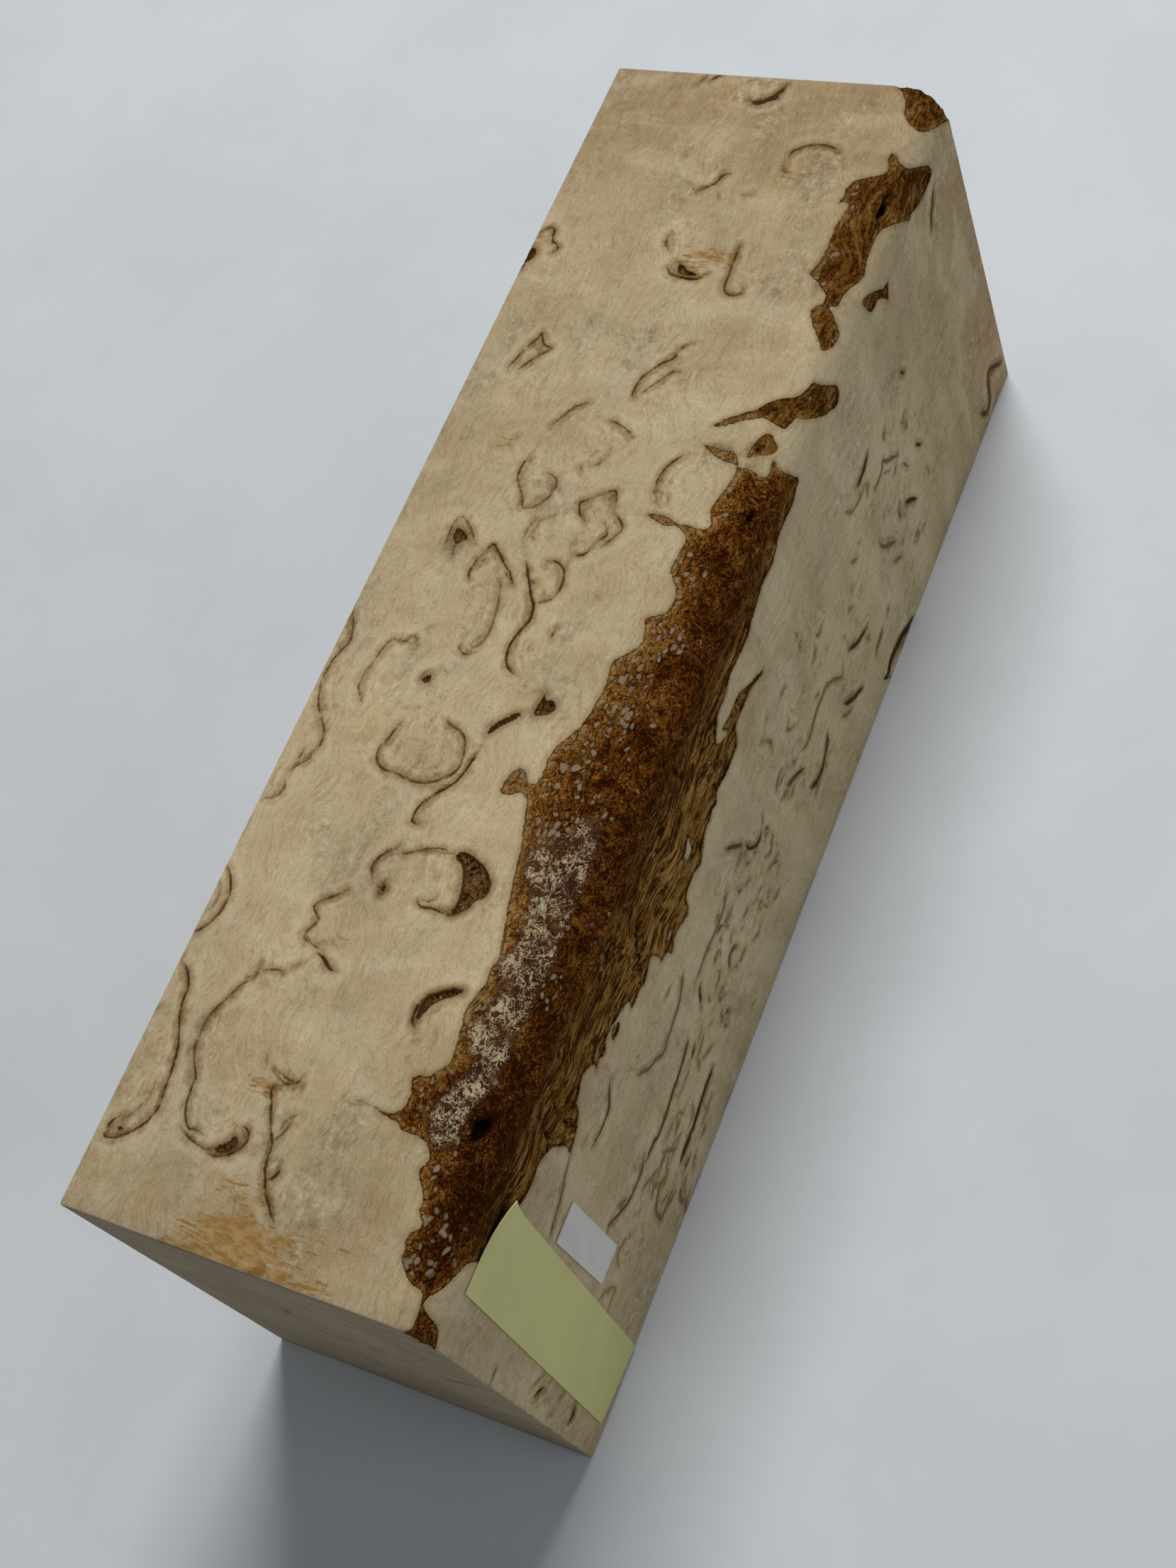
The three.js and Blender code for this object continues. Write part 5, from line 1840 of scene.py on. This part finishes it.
@dataclass(frozen=True)
class PaperFinish:
    """Matt paper with faint fibres and handling marks."""

    name: str
    colour: Colour
    shade: Colour
    fluff: Colour = (0.85, 0.85, 0.8)

    def dress(self, piece: bpy.types.Object) -> None:
        """Makes the material and puts it on a label.

        Args:
            piece: the label.
        """
        graph = FinishGraph(self.name)
        place = graph.point()
        pulp = graph.noise(place, 2.4, 5.0, 0.7)
        fibres = graph.streaks(graph.drift(place, 1.2, (2.0, 2.0, 2.0)), (1.2, 6.0, 6.0), 3.0, 0.6)
        smear = graph.noise(place, 0.22, 3.0, 0.55)
        colour = graph.mix(graph.fade(smear, 0.4, 0.75) * 0.6, self.colour, self.shade)
        colour = graph.mix(graph.fade(fibres, 0.58, 0.78) * 0.25, colour, self.shade)
        colour = graph.mix(graph.fade(pulp, 0.62, 0.8) * 0.2, colour, self.fluff)
        normal = graph.bump(pulp, 0.015, graph.bump(fibres, 0.012))
        piece.data.materials.clear()
        piece.data.materials.append(graph.finish({
            "Base Color": colour,
            "Roughness": 0.8 + 0.1 * (pulp - 0.5),
            "Normal": normal,
            "Specular IOR Level": 0.3,
        }))


@dataclass
class PaperLabel:
    """A blank paper label glued flat on the block's front face."""

    name: str
    node: str
    slot: str
    corners: tuple[Point, Point, Point, Point]
    finish: PaperFinish
    curl_lift: float = 0.0
    curl_reach: float = 5.0
    paper: float = 0.12
    glue: float = 0.05
    front: float = -17.0
    cell: float = 0.6
    smooth_angle: float = 40.0

    def build(self) -> bpy.types.Object:
        """Models the label between its corners, with its curled corner.

        Returns:
            The finished label.
        """
        top_left, top_right, bottom_right, bottom_left = map(np.array, self.corners)
        columns = math.ceil(np.linalg.norm(top_right - top_left) / self.cell)
        rows = math.ceil(np.linalg.norm(top_left - bottom_left) / self.cell)
        deselect()
        bpy.ops.mesh.primitive_grid_add(x_subdivisions=columns, y_subdivisions=rows, size=1.0)
        label = bpy.context.object
        label.name = self.name
        label.data.name = self.name
        grid = read_points(label.data) * MM
        across, up = grid[:, :1] + 0.5, grid[:, 1:2] + 0.5
        flat = (1 - up) * (bottom_left + across * (bottom_right - bottom_left))
        flat += up * (top_left + across * (top_right - top_left))
        to_corner = np.linalg.norm(flat - top_right, axis=1)
        lift = self.glue + self.curl_lift * np.maximum(0.0, 1 - to_corner / self.curl_reach) ** 2
        write_points(label.data, np.column_stack([flat[:, 0], self.front - lift, flat[:, 1]]))
        thicken = label.modifiers.new("paper", "SOLIDIFY")
        thicken.thickness = self.paper * MM
        thicken.offset = 1.0
        bpy.ops.object.modifier_apply(modifier="paper")
        bpy.ops.object.shade_smooth_by_angle(angle=math.radians(self.smooth_angle))
        self.finish.dress(label)
        return label


@dataclass(frozen=True)
class Lamp:
    """A soft rectangular lamp that faces the block."""

    name: str
    place: Triple
    size: Point
    watts: float
    colour: Colour = (1.0, 1.0, 1.0)

    def hang(self) -> None:
        """Puts the lamp in the scene."""
        spot = Vector(self.place) * MM
        bpy.ops.object.light_add(type="AREA", location=spot)
        lamp = bpy.context.object
        lamp.name = self.name
        lamp.data.shape = "RECTANGLE"
        lamp.data.size = self.size[0] * MM
        lamp.data.size_y = self.size[1] * MM
        lamp.data.energy = self.watts
        lamp.data.color = self.colour
        lamp.rotation_euler = (-spot).to_track_quat("-Z", "Y").to_euler()


@dataclass
class Studio:
    """The pale floor, the soft light and the camera."""

    floor_size: float = 3000.0
    floor_colour: Colour = (0.765, 0.80, 0.825)
    floor_shade: Colour = (0.725, 0.76, 0.785)
    image: tuple[int, int] = (1659, 2212)
    focal_pixels: float = 3049.08
    sensor: float = 36.0
    clip_start: float = 0.01
    eye: Triple = (-76.77, -88.90, 187.73)
    right: Triple = (0.37205, -0.87623, -0.30627)
    forward: Triple = (0.34956, 0.43793, -0.82826)
    sky: Colour = (0.92, 0.98, 1.06)
    sky_strength: float = 0.125
    lamps: tuple[Lamp, ...] = (
        Lamp("key_light", (475.0, 108.0, 760.0), (420.0, 260.0), 5.3),
        Lamp("fill_light", (-30.0, -400.0, 220.0), (300.0, 250.0), 0.25, (0.92, 0.98, 1.08)),
    )

    def build(self) -> None:
        """Lays the floor, hangs the lights and sets up the camera."""
        bpy.context.scene.view_settings.view_transform = "Standard"
        self._floor()
        self._sky()
        for lamp in self.lamps:
            lamp.hang()
        self._camera()

    def _floor(self) -> None:
        """Lays a pale matt sheet under the block."""
        deselect()
        bpy.ops.mesh.primitive_plane_add(size=self.floor_size * MM)
        floor = bpy.context.object
        floor.name = "floor"
        graph = FinishGraph("floor_paper")
        tooth = graph.noise(graph.point(), 0.6, 3.0)
        mottle = graph.noise(graph.point(), 0.035, 4.0, 0.6)
        floor.data.materials.append(graph.finish({
            "Base Color": graph.mix(graph.fade(mottle, 0.35, 0.65), self.floor_shade, self.floor_colour),
            "Roughness": 0.75 + 0.1 * (tooth - 0.5),
            "Specular IOR Level": 0.2,
        }))

    def _sky(self) -> None:
        """Gives the room its even light."""
        world = bpy.data.worlds.new("studio")
        world.use_nodes = True
        background = world.node_tree.nodes["Background"]
        background.inputs["Color"].default_value = (*self.sky, 1.0)
        background.inputs["Strength"].default_value = self.sky_strength
        bpy.context.scene.world = world

    def _camera(self) -> None:
        """Stands the camera where the photograph was taken from."""
        right, forward = Vector(self.right), Vector(self.forward)
        up = right.cross(forward)
        turn = Matrix((right, up, -forward)).transposed().to_4x4()
        data = bpy.data.cameras.new("camera")
        data.sensor_width = self.sensor
        data.lens = self.focal_pixels * self.sensor / max(self.image)
        data.clip_start = self.clip_start
        camera = bpy.data.objects.new("camera", data)
        camera.matrix_world = Matrix.Translation(Vector(self.eye) * MM) @ turn
        bpy.context.scene.collection.objects.link(camera)
        bpy.context.scene.camera = camera


def labels() -> tuple[PaperLabel, PaperLabel]:
    """Lays out the two labels, both left blank.

    Returns:
        The size note and the stock tag.
    """
    note = PaperLabel(
        name="note_strip",
        node="size_note",
        slot="note_paper",
        corners=((-56.3, 37.4), (-48.3, 37.0), (-50.5, 0.5), (-58.05, 1.35)),
        finish=PaperFinish("note_paper", (0.65, 0.61, 0.255), (0.57, 0.53, 0.22)),
        curl_lift=0.8,
    )
    tag = PaperLabel(
        name="tag_label",
        node="stock_tag",
        slot="tag_paper",
        corners=((-48.35, 25.26), (-44.75, 25.24), (-44.75, 13.14), (-48.35, 13.16)),
        finish=PaperFinish("tag_paper", (0.71, 0.685, 0.62), (0.61, 0.58, 0.51)),
    )
    return note, tag


def corners(box: tuple) -> list[list[float]]:
    """A box as plain lists of numbers."""
    return [[float(number) for number in corner] for corner in box]


def main() -> None:
    """Builds the block, its labels and the studio."""
    logging.basicConfig(level=logging.INFO, format="%(message)s")
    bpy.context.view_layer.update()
    block = BirchBlock()
    piece = block.build()
    BirchFinish().dress(block, piece)
    declare(piece, "birch_block")
    for label in labels():
        declare(label.build(), label.node)
    Studio().build()


if __name__ == "__main__":
    main()
